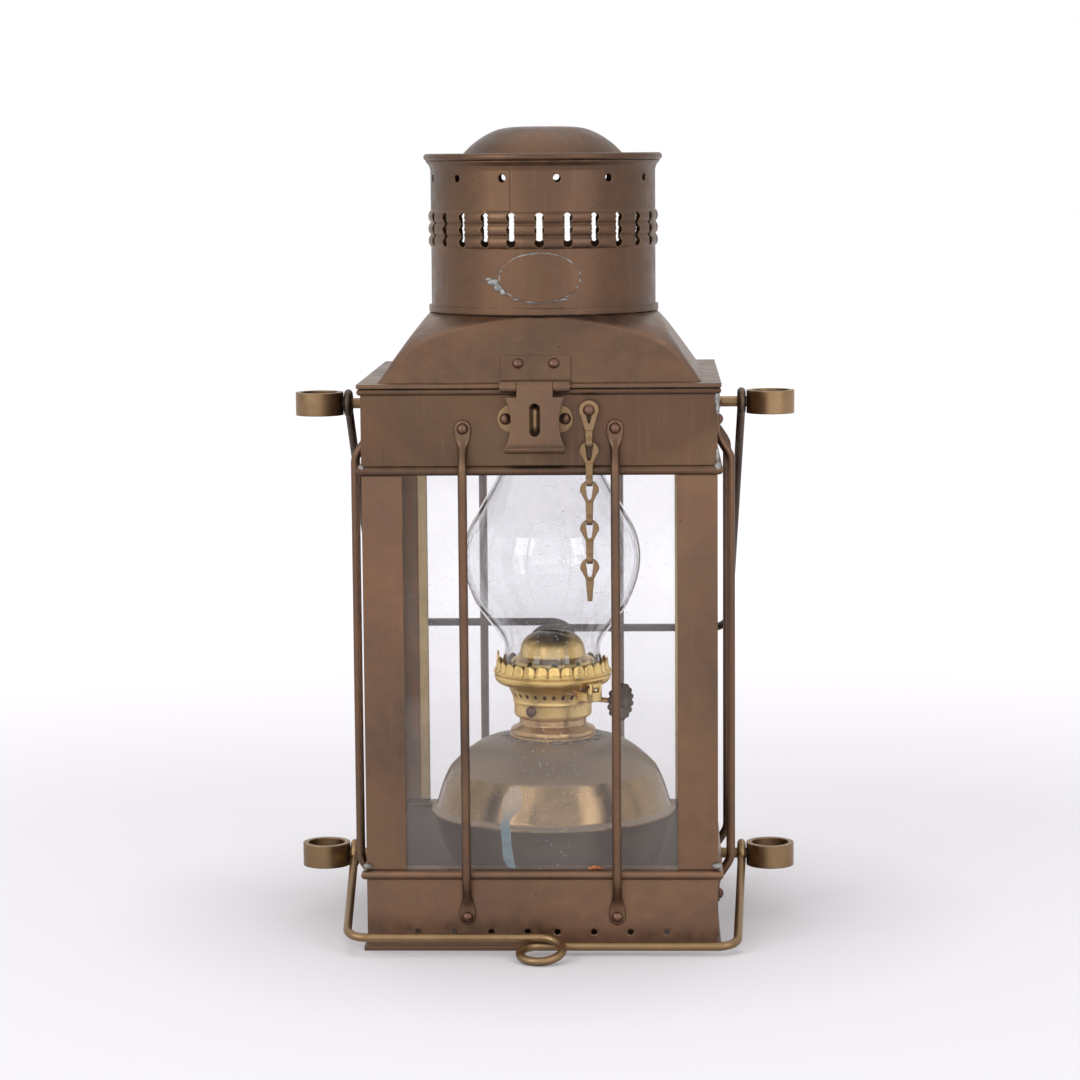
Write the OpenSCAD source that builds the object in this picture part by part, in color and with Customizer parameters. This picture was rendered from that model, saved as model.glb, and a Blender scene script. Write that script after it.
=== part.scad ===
// Square brass ship's oil lantern: glazed body with guard rods, hinged chimney lid with a hasp,
// two swinging wire bails, four guide eyes, and a kerosene lamp with a wick winder inside.
// Millimetres. Origin at the centre of the base underside, +Z up, the front faces -Y.

/* [Body] */
// Outside width of the square body
body_w = 163; // [150:1:190]
// Thickness of the sheet brass
sheet_t = 1.2; // [0.9:0.1:1.6]
// Height of the base tray
base_h = 38; // [36:1:50]
// Height of the windows
window_h = 184; // [170:1:220]
// Height of the band above the windows
band_h = 40; // [38:1:50]
// Width of each face of a corner post
post_w = 18.5; // [14:0.5:24]
// Radius of the rolled beads
bead_r = 2.2; // [1.6:0.1:2.4]
// How far the beads stand out from the walls
bead_out = 2.5; // [1.6:0.1:3]
// Radius of the small bead under the lid
lip_r = 1.6; // [1.2:0.1:2]
// Width of the inner ledges that hold the panes
ledge_w = 8; // [6:0.5:10]
// How far the foot flange stands out
foot_out = 1.5; // [0.5:0.1:2]
// Height of the foot flange
foot_h = 2.3; // [1:0.1:3]

/* [Glazing] */
// Thickness of the window panes
pane_t = 2.4; // [1.8:0.1:3]
// How far each pane runs behind the posts
pane_lap = 6; // [4:0.5:8]

/* [Vent holes] */
// Diameter of the vent holes in the base
vent_d = 3; // [2:0.1:4]
// Number of vent holes on each half of a side
vent_n = 4; // [2:1:4]
// Distance from the middle of a side to its first vent hole
vent_first = 6.9; // [5:0.1:9]
// Distance between neighbouring vent holes
vent_step = 17; // [14:0.5:18]
// Height of the vent holes
vent_z = 8.5; // [7:0.1:9.5]

/* [Guard rods] */
// Diameter of the guard rods
rod_d = 4.2; // [3.6:0.1:4.6]
// Distance of each rod from the middle of its side
rod_x = 34.8; // [28:0.2:42]
// Distance of the rod's middle line from the wall
rod_off = 7; // [6:0.1:7.4]
// Radius of the bends in the rods
bend_r = 5; // [4.6:0.1:5.4]
// Angle of the bends in the rods
bend_a = 45; // [42:1:48]
// Width of the flattened rod ends
lug_w = 7.7; // [7:0.1:9]
// Length of the flattened rod ends
lug_l = 11; // [10:0.1:12]
// Thickness of the flattened rod ends
lug_t = 1.6; // [1.2:0.1:2]
// Depth of the top rivets below the top of the band
lug_drop = 18.5; // [18:0.5:21]
// Height of the bottom rivets
lug_z = 16; // [15:0.5:17]

/* [Rivets] */
// Head diameter of the rivets
rivet_d = 5.4; // [4.6:0.1:6]
// Head height of the rivets
rivet_h = 2; // [1.4:0.1:2.4]
// Shank diameter of the rivets
shank_d = 3; // [2.4:0.1:3.4]

/* [Guide eyes] */
// Bore diameter of the guide eyes
eye_bore = 18; // [16:0.5:20]
// Wall of the guide eyes
eye_wall = 2.5; // [2:0.1:3]
// Height of the guide eyes
eye_h = 11; // [8:0.5:14]
// Distance of the eye middle from the body wall
eye_out = 27; // [26.5:0.5:34]
// Diameter of the eye shanks
stem_d = 5; // [4:0.1:5.4]
// Length of the eye base plates
plate_l = 24; // [22:0.5:28]
// Height of the eye base plates
plate_h = 10; // [9:0.1:10.6]
// Depth of the upper shanks below the top of the band
eye_drop = 13; // [12:0.5:15]
// Depth of the lower shanks below the top of the base
eye_low_drop = 10; // [9.8:0.1:11]

/* [Bails] */
// Diameter of the bail wire
wire_d = 4; // [3.4:0.1:4.2]
// Distance of each bail eye from the body wall
bail_out = 13.1; // [12.8:0.1:13.3]
// How far the legs lean in towards the crossbar
bail_lean = 4; // [3:0.1:4.3]
// Pivot to crossbar on the upper bail
bail_up_l = 155; // [152:1:165]
// How far in front of the body the crossbar of the lower bail lies
bail_low_reach = 11.1; // [10.5:0.1:12]
// Height of that crossbar above the table
bail_low_z = 6.6; // [6.4:0.1:7]
// Radius of the bail corners
corner_r = 9; // [6:0.5:14]
// Middle radius of the centre loops
loop_r = 9.75; // [8:0.25:10]

/* [Lid] */
// How far the lid flange stands out past the walls
flange_out = 1.75; // [1.25:0.05:2]
// Thickness of the lid flange
flange_t = 1.8; // [1.4:0.1:2.2]
// Width of the flange around the foot of the hood
hood_set = 8.75; // [8:0.25:10.25]
// Corner radius at the foot of the hood
hood_round = 4; // [2:0.5:8]
// Height of the hood
hood_h = 29.7; // [26:0.1:36]
// Outside radius of the drum
drum_r = 53.6; // [50:0.2:56]
// Height of the drum
drum_h = 71.2; // [70:0.2:80]
// Height of the dome above the drum
dome_h = 16; // [13:0.5:22]
// Radius where the dome leaves the cap plate
dome_r = 40.4; // [36:0.2:44]
// Radius of the rolled cap rim
rim_r = 1.7; // [1.3:0.1:2]

/* [Drum openings] */
// Number of slots on the front half of the drum
slot_n = 13; // [9:2:13]
// Half width of the slot lobes
slot_r = 2.2; // [1.4:0.1:2.4]
// Height of each of the three ribs
rib_h = 5.8; // [5:0.1:6.4]
// How far the ribs stand out
rib_out = 1.2; // [0.8:0.1:1.6]
// Height of the ribs above the drum foot
rib_z = 30.5; // [30:0.5:33]
// Number of round holes near the drum top
port_n = 13; // [8:1:16]
// Diameter of the round holes
port_d = 3.7; // [3:0.1:4.5]
// Depth of the round holes below the drum top
port_drop = 8.1; // [6:0.1:10]
// Length of the bare oval plate
badge_l = 38; // [30:1:44]
// Height of the bare oval plate
badge_h = 23; // [18:1:24]
// Height of the oval plate above the drum foot
badge_z = 17.2; // [17:0.1:18]

/* [Hasp] */
// Hasp middle from the middle of the front
hasp_x = -1.5; // [-3:0.1:0]
// Width of the hasp hinge
hasp_w = 31.8; // [30:0.2:33]
// Width of the hasp's middle knuckle
hasp_mid = 17; // [15:0.2:18]
// Length of the hasp tab below its pin
hasp_l = 27.5; // [26:0.5:29]
// Half width of the hasp tab
tab_half = 13.6; // [13:0.1:14]
// Half width at the waist of the tab
tab_waist = 10.9; // [10.4:0.1:11.4]
// Width of the slot in the tab
tab_slot = 4.9; // [4.4:0.1:5.4]
// Outside radius of the hinge knuckles
knuckle_r = 2.7; // [2.4:0.1:2.9]
// Radius of the hinge pins
pin_r = 1.2; // [1:0.1:1.4]
// Thickness of the hinge and hasp plates
strap_t = 1.4; // [1.2:0.1:1.6]
// Wire diameter of the staple
staple_d = 3.2; // [2.8:0.1:3.4]
// Height of the staple
staple_h = 14; // [12:0.5:14.5]

/* [Lid hinge] */
// Width of the lid hinge
hinge_w = 60; // [50:1:60]
// Width of the hinge's middle knuckle
hinge_mid = 30; // [26:1:34]
// Height of the body leaf on the band
hinge_leaf = 13; // [12:0.5:14]

/* [Chain] */
// Chain rivet from the middle of the front
chain_x = 23; // [22:0.2:24]
// Depth of the chain rivet below the top of the band
chain_drop = 10; // [10:0.5:12]
// Rivet to first link joint
chain_first = 14.8; // [14:0.1:16]
// Distance between the other link joints
chain_step = 17.8; // [17:0.1:19]
// Thickness of the chain links
link_t = 1.2; // [1:0.05:1.3]
// Radius of a link's head
link_r = 4.4; // [4.2:0.1:4.6]
// Width of a link's tail
tail_w = 2.6; // [2.2:0.1:2.8]
// Width of the eye in a link
link_eye = 3.5; // [3.3:0.1:3.8]

/* [Lamp fount] */
// Lamp axis from the middle of the body
lamp_x = 3; // [0:0.5:6]
// Wall of the fount
fount_t = 1.2; // [1:0.1:1.5]
// Foot radius of the fount
fount_foot = 38; // [34:0.5:42]
// Largest radius of the fount
fount_r = 59.5; // [56:0.5:62]
// Height of the fount bowl
bowl_h = 49.8; // [45:0.2:55]
// Height of the fount top above the bowl
crown_h = 35.7; // [30:0.1:38]
// Outside radius of the screw collar
collar_r = 20.5; // [19:0.1:22]
// Height of the screw collar
collar_h = 5.5; // [5:0.1:8]

/* [Burner] */
// Outside radius of the burner neck
neck_r = 15.6; // [15:0.1:16]
// Neck showing between collar and burner
neck_h = 4; // [3:0.1:6]
// Outside radius of the burner base
burner_r = 18.5; // [18:0.1:19]
// Height of the burner base
burner_h = 8; // [8:0.1:9]
// Outside radius at the top of the perforated cone
cone_r = 22; // [21:0.1:23]
// Height of the perforated cone
cone_h = 8; // [7:0.1:9]
// Number of holes in the perforated cone
cone_n = 30; // [20:1:32]
// Outside radius of the chimney gallery
gallery_r = 28.5; // [28:0.1:29]
// Height of the gallery skirt
gallery_h = 7.5; // [7:0.1:8]
// Number of petals round the gallery
petal_n = 27; // [20:1:30]
// Height of the petals
petal_h = 5; // [4:0.1:6]
// Radius of the flame dome
flame_r = 16.5; // [16:0.1:17]
// Height of the flame dome
flame_h = 18.8; // [18:0.2:22]
// Width of the wick
wick_w = 14; // [12:0.5:14.5]
// Thickness of the wick
wick_t = 2; // [1.6:0.1:2.2]
// Wick standing above its tube
wick_up = 2; // [1:0.1:3]
// Wall of the wick tube
tube_t = 0.9; // [0.7:0.1:1]
// Angle of the wick shaft to the right hand side, towards the front
shaft_a = 30; // [28:1:32]
// Diameter of the wick shaft
shaft_d = 2.5; // [2.2:0.1:2.8]
// Radius of the spur wheels on the shaft
spur_r = 4; // [3.6:0.1:4]
// Radius of the wick knob
knob_r = 9; // [8:0.1:9.4]
// Thickness of the wick knob
knob_t = 6; // [4:0.1:7]
// Distance of the knob from the lamp axis
knob_s = 32; // [32:0.2:34]
// Direction of the gallery hinge, from the right hand side towards the front
tilt_a = 47; // [46:1:50]

/* [Lamp glass] */
// Wall of the lamp glass
glass_t = 1.6; // [1.2:0.1:2]
// Foot radius of the lamp glass
glass_foot = 24.6; // [23.4:0.1:24.8]
// Largest radius of the lamp glass
glass_r = 43; // [38:0.5:46]
// Top radius of the lamp glass
glass_top = 19; // [16:0.5:22]
// Height of the lamp glass
glass_h = 132; // [120:1:136]

/* [Clearances] */
// Running gap round pins and shafts
run_gap = 0.1; // [0.05:0.01:0.15]
// Gap between pieces that pass each other
pass_gap = 0.3; // [0.2:0.05:0.4]

/* [Hidden] */
$fn = 64;

// Heights and half widths that several pieces share
half_w = body_w / 2;
band_z = base_h + window_h;
body_top = band_z + band_h;
flange_top = body_top + flange_t;
drum_z = flange_top + hood_h;
drum_top = drum_z + drum_h;
floor_top = sheet_t;
far = body_w * 2;
flange_w = body_w + 2 * flange_out;
hood_w = flange_w - 2 * hood_set;

// Sides of the body as turns about +Z from the right hand side
RIGHT = 0;
BACK = 90;
LEFT = 180;
FRONT = 270;

// Guard rods, rivets and guide eyes
rod_r = rod_d / 2;
wall_gap = 0.15;
rod_start = rod_r + wall_gap;
rod_rise = rod_off - rod_start;
bend_leg = (rod_rise - 2 * bend_r * (1 - cos(bend_a))) / sin(bend_a);
bend_z = 2 * bend_r * sin(bend_a) + bend_leg * cos(bend_a);
lug_tail = lug_l - lug_w / 2;
lug_fuse = 1.5;
lug_top_z = body_top - lug_drop;
rod_low = lug_z + lug_tail - lug_fuse;
rod_high = lug_top_z - lug_tail + lug_fuse;
rod_lead = 2;
rod_straight = rod_high - rod_low - 2 * rod_lead - 2 * bend_z;
shank_r = shank_d / 2;
hole_r = shank_r + run_gap;
eye_x = half_w + eye_out;
eye_r = eye_bore / 2 + eye_wall;
eye_z = body_top - eye_drop;
eye_low_z = base_h - eye_low_drop;
plate_t = 1.6;
plate_rivet = plate_l / 2 - rivet_d / 2 - 0.8;

// Bails
wire_r = wire_d / 2;
bail_x = half_w + bail_out;
bail_eye_r = stem_d / 2 + pass_gap + wire_r;
loop_step = wire_r + 0.2;
bail_rest = half_w + rod_off + rod_r + wire_r + loop_step + pass_gap;
bail_up_a = asin(bail_rest / bail_up_l);
bail_low_run = half_w + bail_low_reach;
bail_low_drop = eye_low_z - bail_low_z;
bail_low_l = norm([bail_low_run, bail_low_drop]);
bail_low_a = atan(bail_low_drop / bail_low_run);

// Lid hinge and hasp
drum_in = drum_r - sheet_t;
hood_flat = 4.5;
flare_h = 4.5;
flare_out = 2.2;
slot_step = 14;
slot_back_step = 15;
slot_back_turn = 4;
port_turn = 8.9;
hinge_y = flange_w / 2 + knuckle_r + pass_gap;
hinge_z = body_top + flange_t / 2;
hasp_y = -(flange_w / 2 + knuckle_r + pass_gap + 0.8);
hasp_z = hinge_z;
bore_r = pin_r + run_gap;
slope_a = atan((hood_w / 2 - drum_r - 0.4) / hood_h);
slope_up = [sin(slope_a), cos(slope_a)];
slope_out = [-cos(slope_a), sin(slope_a)];
hasp_rise = 14;
hasp_seat = 0.05;
hasp_foot = [-hood_w / 2 - hasp_seat, flange_top];
tab_back = hasp_y - knuckle_r + strap_t;
tab_top = 4.6;
staple_drop = 15;
staple_z = hasp_z - staple_drop;
staple_plate_t = 1;
staple_rivet_x = 13.6;

// Chain
chain_z = body_top - chain_drop;
link_y = -(half_w + bead_out + 0.9 + link_t / 2);
curl_in = 1.05;
curl_out = 1.9;
bar_h = 1;
link_z = [for (i = [1:4]) chain_z - chain_first - (i - 1) * chain_step];

// Lamp, stacked from the floor plate up
rim_z = floor_top + bowl_h;
crown_z = rim_z + crown_h;
collar_top = crown_z + collar_h;
seat_t = 1.2;
burner_z = collar_top + neck_h;
cone_z = burner_z + burner_h;
cone_top = cone_z + cone_h;
skin = 1.2;
gallery_z = cone_top + 7;
gallery_low = gallery_z - gallery_h;
tube_top = gallery_z + 10;
tube_z = crown_z + 2;
shaft_z = cone_z + 1;
shaft_r = shaft_d / 2;
shaft_off = wick_t / 2 + spur_r + pass_gap;
disc_z = burner_z + skin;
disc_t = 0.8;
tilt_r = gallery_r + 1.7;
tilt_z = gallery_z - 5;
tilt_pin_r = 0.8;

// Colours
BRASS = [0.45, 0.34, 0.25];
BRASS_DARK = [0.36, 0.29, 0.25];
BRASS_GOLD = [0.55, 0.43, 0.24];
BRASS_BRIGHT = [0.75, 0.58, 0.28];
COPPER = [0.47, 0.31, 0.24];
GLASS = [0.85, 0.9, 0.9, 0.35];

// Helpers

function reversed(list) = [for (i = [len(list) - 1:-1:0]) list[i]];
function unit(v) = v / norm(v);
function curve_point(a, b, c, d, t) =
    0.5 * (2 * b + (c - a) * t + (2 * a - 5 * b + 4 * c - d) * t * t + (3 * b - a - 3 * c + d) * t * t * t);

// Smooth curve through the points, with n steps between neighbours
function curve(p, n) = concat(
    [for (i = [0:len(p) - 2]) for (k = [0:n - 1])
        curve_point(p[max(i - 1, 0)], p[i], p[i + 1], p[min(i + 2, len(p) - 1)], k / n)],
    [p[len(p) - 1]]);

// Inner side of a wall whose outer side runs upwards through p, without the two end points
function inner_side(p, wall) = [for (i = [1:len(p) - 2])
    let (t = unit(p[i + 1] - p[i - 1])) p[i] - wall * [t.y, -t.x]];

// Half section of a thin wall, from its outer side and the two end points of its inner side
function wall_section(p, wall, first, last) = concat(p, [last], reversed(inner_side(p, wall)), [first]);

function ellipse_points(a, b, n) = [for (i = [0:n - 1]) [a * cos(360 * i / n), b * sin(360 * i / n)]];

function heading(path, i) = unit(path[min(i + 1, len(path) - 1)] - path[max(i - 1, 0)]);
function ring_of(p, t, up, r, n) =
    let (b = unit(cross(t, up)), m = cross(b, t))
    [for (k = [0:n - 1]) p + r * (cos(360 * k / n) * b + sin(360 * k / n) * m)];

// Round wire along a path that stays near one plane, whose normal is up
module wire_along(path, r, up, n) {
    last = len(path) - 1;
    points = [for (i = [0:last]) each ring_of(path[i], heading(path, i), up, r, n)];
    sides = [for (i = [0:last - 1]) for (k = [0:n - 1])
        let (a = i * n + k, b = i * n + (k + 1) % n) each [[a, b, b + n], [a, b + n, a + n]]];
    caps = [[for (k = [n - 1:-1:0]) k], [for (k = [0:n - 1]) last * n + k]];
    polyhedron(points = points, faces = concat(sides, caps), convexity = 8);
}

// Bent rod that starts at the origin along +Z. Each step is a straight length or [radius, angle towards +X]
module bent_rod(steps, r, i = 0) {
    if (i < len(steps)) {
        if (is_list(steps[i])) {
            radius = steps[i][0];
            angle = abs(steps[i][1]);
            way = sign(steps[i][1]);
            translate([way * radius, 0, 0])
                rotate([90, 0, way > 0 ? 180 : 0])
                    rotate_extrude(angle = angle) translate([radius, 0]) circle(r);
            translate([way * radius * (1 - cos(angle)), 0, radius * sin(angle)])
                rotate([0, way * angle, 0]) bent_rod(steps, r, i + 1);
        } else {
            cylinder(h = steps[i], r = r);
            translate([0, 0, steps[i]]) bent_rod(steps, r, i + 1);
        }
    }
}

// Square ring with mitred corners, from a half section drawn from the wall line outwards
module square_ring(w, low, high) {
    for (a = [RIGHT, BACK, LEFT, FRONT]) rotate(a) intersection() {
        rotate([90, 0, 0]) linear_extrude(far, center = true) translate([w / 2, 0]) children();
        translate([0, 0, low]) linear_extrude(high - low)
            polygon([[0, 0], [far / 2, -far / 2], [far / 2, far / 2]]);
    }
}

// Places children on a side of the body: +X points out of the wall, y runs along it
module on_side(turn, along, z, out = 0) {
    rotate(turn) translate([half_w + out, along, z]) children();
}

module along_x(length, r) {
    rotate([0, 90, 0]) cylinder(h = length, r = r, center = true);
}

// Domed rivet with its head on z = 0 and its shank below
module rivet(grip, d = rivet_d, h = rivet_h, shank = shank_r) {
    ball = (d * d / 4 + h * h) / (2 * h);
    intersection() {
        translate([0, 0, h - ball]) sphere(ball);
        cylinder(h = h * 2, r = d);
    }
    translate([0, 0, -grip]) cylinder(h = grip, r = shank);
}

module wall_rivet(turn, along, z, plate, inside = 1) {
    on_side(turn, along, z, plate) rotate([0, 90, 0]) rivet(plate + sheet_t + inside);
}

module wall_hole(turn, along, z, r = hole_r) {
    on_side(turn, along, z) rotate([0, 90, 0]) cylinder(h = 8 * sheet_t, r = r, center = true);
}

// Holes in the walls for every rivet of a height
module guard_holes(z) {
    for (turn = [RIGHT, BACK, LEFT, FRONT], s = [-1, 1]) wall_hole(turn, s * rod_x, z);
}

module eye_holes(z) {
    for (turn = [RIGHT, LEFT], s = [-1, 1]) wall_hole(turn, s * plate_rivet, z);
}

// Body of the lantern

module base_tray() {
    color(BRASS) difference() {
        square_ring(body_w, 0, base_h) {
            translate([-sheet_t, 0]) square([sheet_t, base_h]);
            square([foot_out, foot_h]);
            translate([bead_out - bead_r, base_h - bead_r]) circle(bead_r);
            translate([-sheet_t - ledge_w, base_h - sheet_t]) square([ledge_w + sheet_t, sheet_t]);
        }
        for (turn = [RIGHT, LEFT, FRONT], s = [-1, 1], i = [0:vent_n - 1])
            wall_hole(turn, s * (vent_first + i * vent_step), vent_z, vent_d / 2);
        guard_holes(lug_z);
        eye_holes(eye_low_z);
    }
}

module base_floor() {
    color(BRASS) linear_extrude(sheet_t) square(body_w - 2 * sheet_t, center = true);
}

module corner_post(sx, sy) {
    color(BRASS) translate([sx * half_w, sy * half_w, base_h]) linear_extrude(window_h) difference() {
        translate([sx > 0 ? -post_w : 0, sy > 0 ? -post_w : 0]) square(post_w);
        translate([sx > 0 ? -post_w - sheet_t : sheet_t, sy > 0 ? -post_w - sheet_t : sheet_t])
            square(post_w);
    }
}

module top_band() {
    color(BRASS) difference() {
        square_ring(body_w, band_z, body_top) {
            translate([-sheet_t, band_z]) square([sheet_t, band_h]);
            translate([bead_out - bead_r, band_z + bead_r]) circle(bead_r);
            translate([0, body_top - lip_r]) circle(lip_r);
            translate([-sheet_t - ledge_w, band_z]) square([ledge_w + sheet_t, sheet_t]);
        }
        guard_holes(lug_top_z);
        eye_holes(eye_z);
        for (s = [-1, 1]) wall_hole(FRONT, hasp_x + s * staple_rivet_x, staple_z);
        for (s = [-1, 1]) wall_hole(BACK, s * hinge_rivet_x, hinge_rivet_z);
        wall_hole(FRONT, chain_x, chain_z);
    }
}

module pane(turn) {
    width = body_w - 2 * post_w + 2 * pane_lap;
    color(GLASS) rotate(turn) translate([half_w - sheet_t - pane_t, -width / 2, base_h])
        cube([pane_t, width, window_h]);
}

module guard_lug(z, way) {
    translate([0, 0, z]) rotate([90, 0, 90]) linear_extrude(lug_t) difference() {
        union() {
            circle(lug_w / 2);
            translate([-lug_w / 2, way > 0 ? 0 : -lug_tail]) square([lug_w, lug_tail]);
        }
        circle(hole_r);
    }
}

module guard_rods(turn) {
    bend_in = [[bend_r, bend_a], bend_leg, [bend_r, -bend_a]];
    bend_back = [[bend_r, -bend_a], bend_leg, [bend_r, bend_a]];
    color(BRASS) for (s = [-1, 1]) on_side(turn, s * rod_x, 0) {
        guard_lug(lug_z, 1);
        guard_lug(lug_top_z, -1);
        translate([rod_start, 0, rod_low])
            bent_rod(concat([rod_lead], bend_in, [rod_straight], bend_back, [rod_lead]), rod_r);
    }
}

module guard_rivets() {
    color(COPPER) for (turn = [RIGHT, BACK, LEFT, FRONT], s = [-1, 1], z = [lug_z, lug_top_z])
        wall_rivet(turn, s * rod_x, z, lug_t);
}

// Guide eye on the right or left wall, with a vertical bore
module guide_eye(turn, z) {
    color(BRASS_GOLD) difference() {
        union() {
            on_side(turn, -plate_l / 2, z - plate_h / 2) cube([plate_t, plate_l, plate_h]);
            on_side(turn, 0, z) rotate([0, 90, 0])
                cylinder(h = eye_out - eye_bore / 2 - eye_wall / 2, r = stem_d / 2);
            rotate(turn) translate([eye_x, 0, z - eye_h / 2]) cylinder(h = eye_h, r = eye_r);
        }
        rotate(turn) translate([eye_x, 0, z - eye_h]) cylinder(h = 2 * eye_h, r = eye_bore / 2);
        for (s = [-1, 1]) wall_hole(turn, s * plate_rivet, z);
    }
}

module guide_eye_rivets() {
    color(COPPER) for (turn = [RIGHT, LEFT], s = [-1, 1], z = [eye_low_z, eye_z])
        wall_rivet(turn, s * plate_rivet, z, plate_t);
}

// Staple on the front of the band

module staple_plate() {
    color(BRASS_GOLD) translate([hasp_x, -half_w, staple_z]) rotate([90, 0, 0])
        linear_extrude(staple_plate_t) difference() {
            union() {
                for (s = [-1, 1]) translate([s * (staple_rivet_x - 2.6), 0]) circle(staple_h * 0.45);
                square([2 * staple_rivet_x - 5.2, staple_h - 4], center = true);
            }
            for (s = [-1, 1]) translate([s * staple_rivet_x, 0]) circle(hole_r);
        }
}

module staple() {
    r = staple_d / 2;
    turn_r = r + 1.2;
    reach = -tab_back - pass_gap - half_w - staple_plate_t;
    crown = staple_h - 2 * r - 2 * turn_r;
    steps = [reach - r - turn_r, [turn_r, 90], crown, [turn_r, 90], reach - r - turn_r];
    color(BRASS_GOLD) translate([hasp_x, -half_w - staple_plate_t, staple_z + staple_h / 2 - r])
        rotate([90, 90, 0]) bent_rod(steps, r);
}

module staple_rivets() {
    color(COPPER) for (s = [-1, 1]) wall_rivet(FRONT, hasp_x + s * staple_rivet_x, staple_z, staple_plate_t);
}

// Chain on the front of the band

module chain_rivet() {
    reach = -link_y - link_t / 2 - half_w;
    grip = reach + link_t + run_gap;
    color(COPPER) translate([chain_x, -half_w, chain_z]) rotate([90, 0, 0]) {
        cylinder(h = reach - run_gap, r = rivet_d / 2 - 0.2);
        translate([0, 0, grip]) rivet(grip + sheet_t + 1);
    }
}

// Flat outline of a link with its pivot at the origin, hanging down
module link_outline(length, head_z) {
    translate([0, head_z]) circle(link_r);
    shoulder = [0.96 * link_r, head_z - 0.2 * link_r];
    waist = [tail_w / 2, head_z - 2.2 * link_r];
    polygon([shoulder, waist, [tail_w / 2, -length], [-tail_w / 2, -length], [-waist.x, waist.y],
        [-shoulder.x, shoulder.y]]);
}

module link_plate() {
    rotate([90, 0, 0]) linear_extrude(link_t, center = true) children();
}

// Curl at the end of a tail, round the top bar of the next link
module link_curl(length) {
    translate([0, 0, -length]) rotate([0, 90, 0]) difference() {
        cylinder(h = tail_w, r = curl_out, center = true);
        cylinder(h = 2 * tail_w, r = curl_in, center = true);
    }
}

module chain_link_first() {
    color(BRASS_GOLD) translate([chain_x, link_y, chain_z]) {
        link_plate() difference() {
            link_outline(chain_first - curl_in - 0.3, 0);
            circle(hole_r);
        }
        link_curl(chain_first);
    }
}

module chain_link_next(i) {
    free_end = i == 3;
    eye_l = 7.8;
    color(BRASS_GOLD) translate([chain_x, link_y, link_z[i]]) {
        link_plate() difference() {
            link_outline(free_end ? chain_step + 0.7 : chain_step - curl_in - 0.3, bar_h / 2 - link_r);
            translate([-link_eye / 2, -bar_h / 2 - eye_l + link_eye / 2])
                square([link_eye, eye_l - link_eye / 2]);
            translate([0, -bar_h / 2 - eye_l + link_eye / 2]) circle(link_eye / 2);
        }
        if (free_end) translate([0, 0, -chain_step]) rotate([90, 0, 0])
            cylinder(h = link_t, r = 0.7 * tail_w, center = true);
        else link_curl(chain_step);
    }
}

// Lid hinge at the back

hinge_low = body_top - 2 * lip_r - wall_gap - hinge_leaf;
hinge_rivet_x = hinge_w / 2 - 8;
hinge_rivet_z = hinge_low + hinge_leaf / 2;
lid_rivet_y = (hood_w / 2 + flange_w / 2) / 2;
lid_rivet_d = 4.4;
lid_rivet_h = 1.4;

// Knuckles of one leaf along the pin
module knuckles(spans, r) {
    for (span = spans) translate([(span[0] + span[1]) / 2, 0, 0]) along_x(span[1] - span[0], r);
}

function outer_knuckles(w, mid) = [[-w / 2, -mid / 2], [mid / 2, w / 2]];
function mid_knuckle(mid) = [[-mid / 2 + pass_gap, mid / 2 - pass_gap]];

module hinge_body_leaf() {
    spans = outer_knuckles(hinge_w, hinge_mid);
    knee = hinge_low + hinge_leaf;
    step_out = hinge_y - strap_t / 2;
    color(BRASS) difference() {
        union() {
            translate([-hinge_w / 2, half_w, hinge_low]) cube([hinge_w, sheet_t, hinge_leaf]);
            for (span = spans) translate([span[0], half_w, knee - strap_t])
                cube([span[1] - span[0], step_out + strap_t - half_w, strap_t]);
            for (span = spans) translate([span[0], step_out, knee - strap_t])
                cube([span[1] - span[0], strap_t, hinge_z - knee]);
            translate([0, hinge_y, hinge_z]) knuckles(spans, knuckle_r);
        }
        translate([0, hinge_y, hinge_z]) along_x(2 * hinge_w, bore_r);
        for (s = [-1, 1]) wall_hole(BACK, s * hinge_rivet_x, hinge_rivet_z);
    }
}

module hinge_body_rivets() {
    color(COPPER) for (s = [-1, 1]) wall_rivet(BACK, s * hinge_rivet_x, hinge_rivet_z, sheet_t);
}

module hinge_lid_leaf() {
    mid = hinge_mid - 2 * pass_gap;
    front = hood_w / 2 + 0.6;
    color(BRASS) difference() {
        union() {
            translate([-mid / 2, front, flange_top]) cube([mid, hinge_y - front, sheet_t]);
            translate([0, hinge_y, hinge_z]) knuckles(mid_knuckle(hinge_mid), knuckle_r);
        }
        translate([0, hinge_y, hinge_z]) along_x(2 * hinge_w, bore_r);
        lid_rivet_places() cylinder(h = far, r = hole_r, center = true);
    }
}

module lid_rivet_places() {
    for (s = [-1, 1]) translate([s * hinge_mid / 4, lid_rivet_y, flange_top + sheet_t]) children();
}

module hinge_lid_rivets() {
    color(COPPER) lid_rivet_places() rivet(sheet_t + flange_t, lid_rivet_d, lid_rivet_h);
}

module hinge_pin() {
    color(BRASS_DARK) translate([0, hinge_y, hinge_z]) along_x(hinge_w + 1, pin_r);
}

// Lid with its chimney

module lid_flange() {
    inside = hood_w - 2 * sheet_t - 4;
    color(BRASS) difference() {
        translate([0, 0, body_top]) linear_extrude(flange_t) difference() {
            square(flange_w, center = true);
            square(inside, center = true);
        }
        lid_rivet_places() cylinder(h = far, r = hole_r, center = true);
    }
}

// Square foot whose corners grow rounder until the top is a circle
module hood_form(w, r, low, high) {
    slice = 0.02;
    hull() for (t = [0, 0.4, 0.65, 0.8, 0.92, 1]) {
        half = w / 2 + (r - w / 2) * t;
        round = min(hood_round + (r - hood_round) * pow(t, hood_flat), half - slice);
        translate([0, 0, low + (high - low - slice) * t]) linear_extrude(slice)
            offset(r = round, $fn = 48) square(2 * (half - round), center = true);
    }
}

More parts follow.
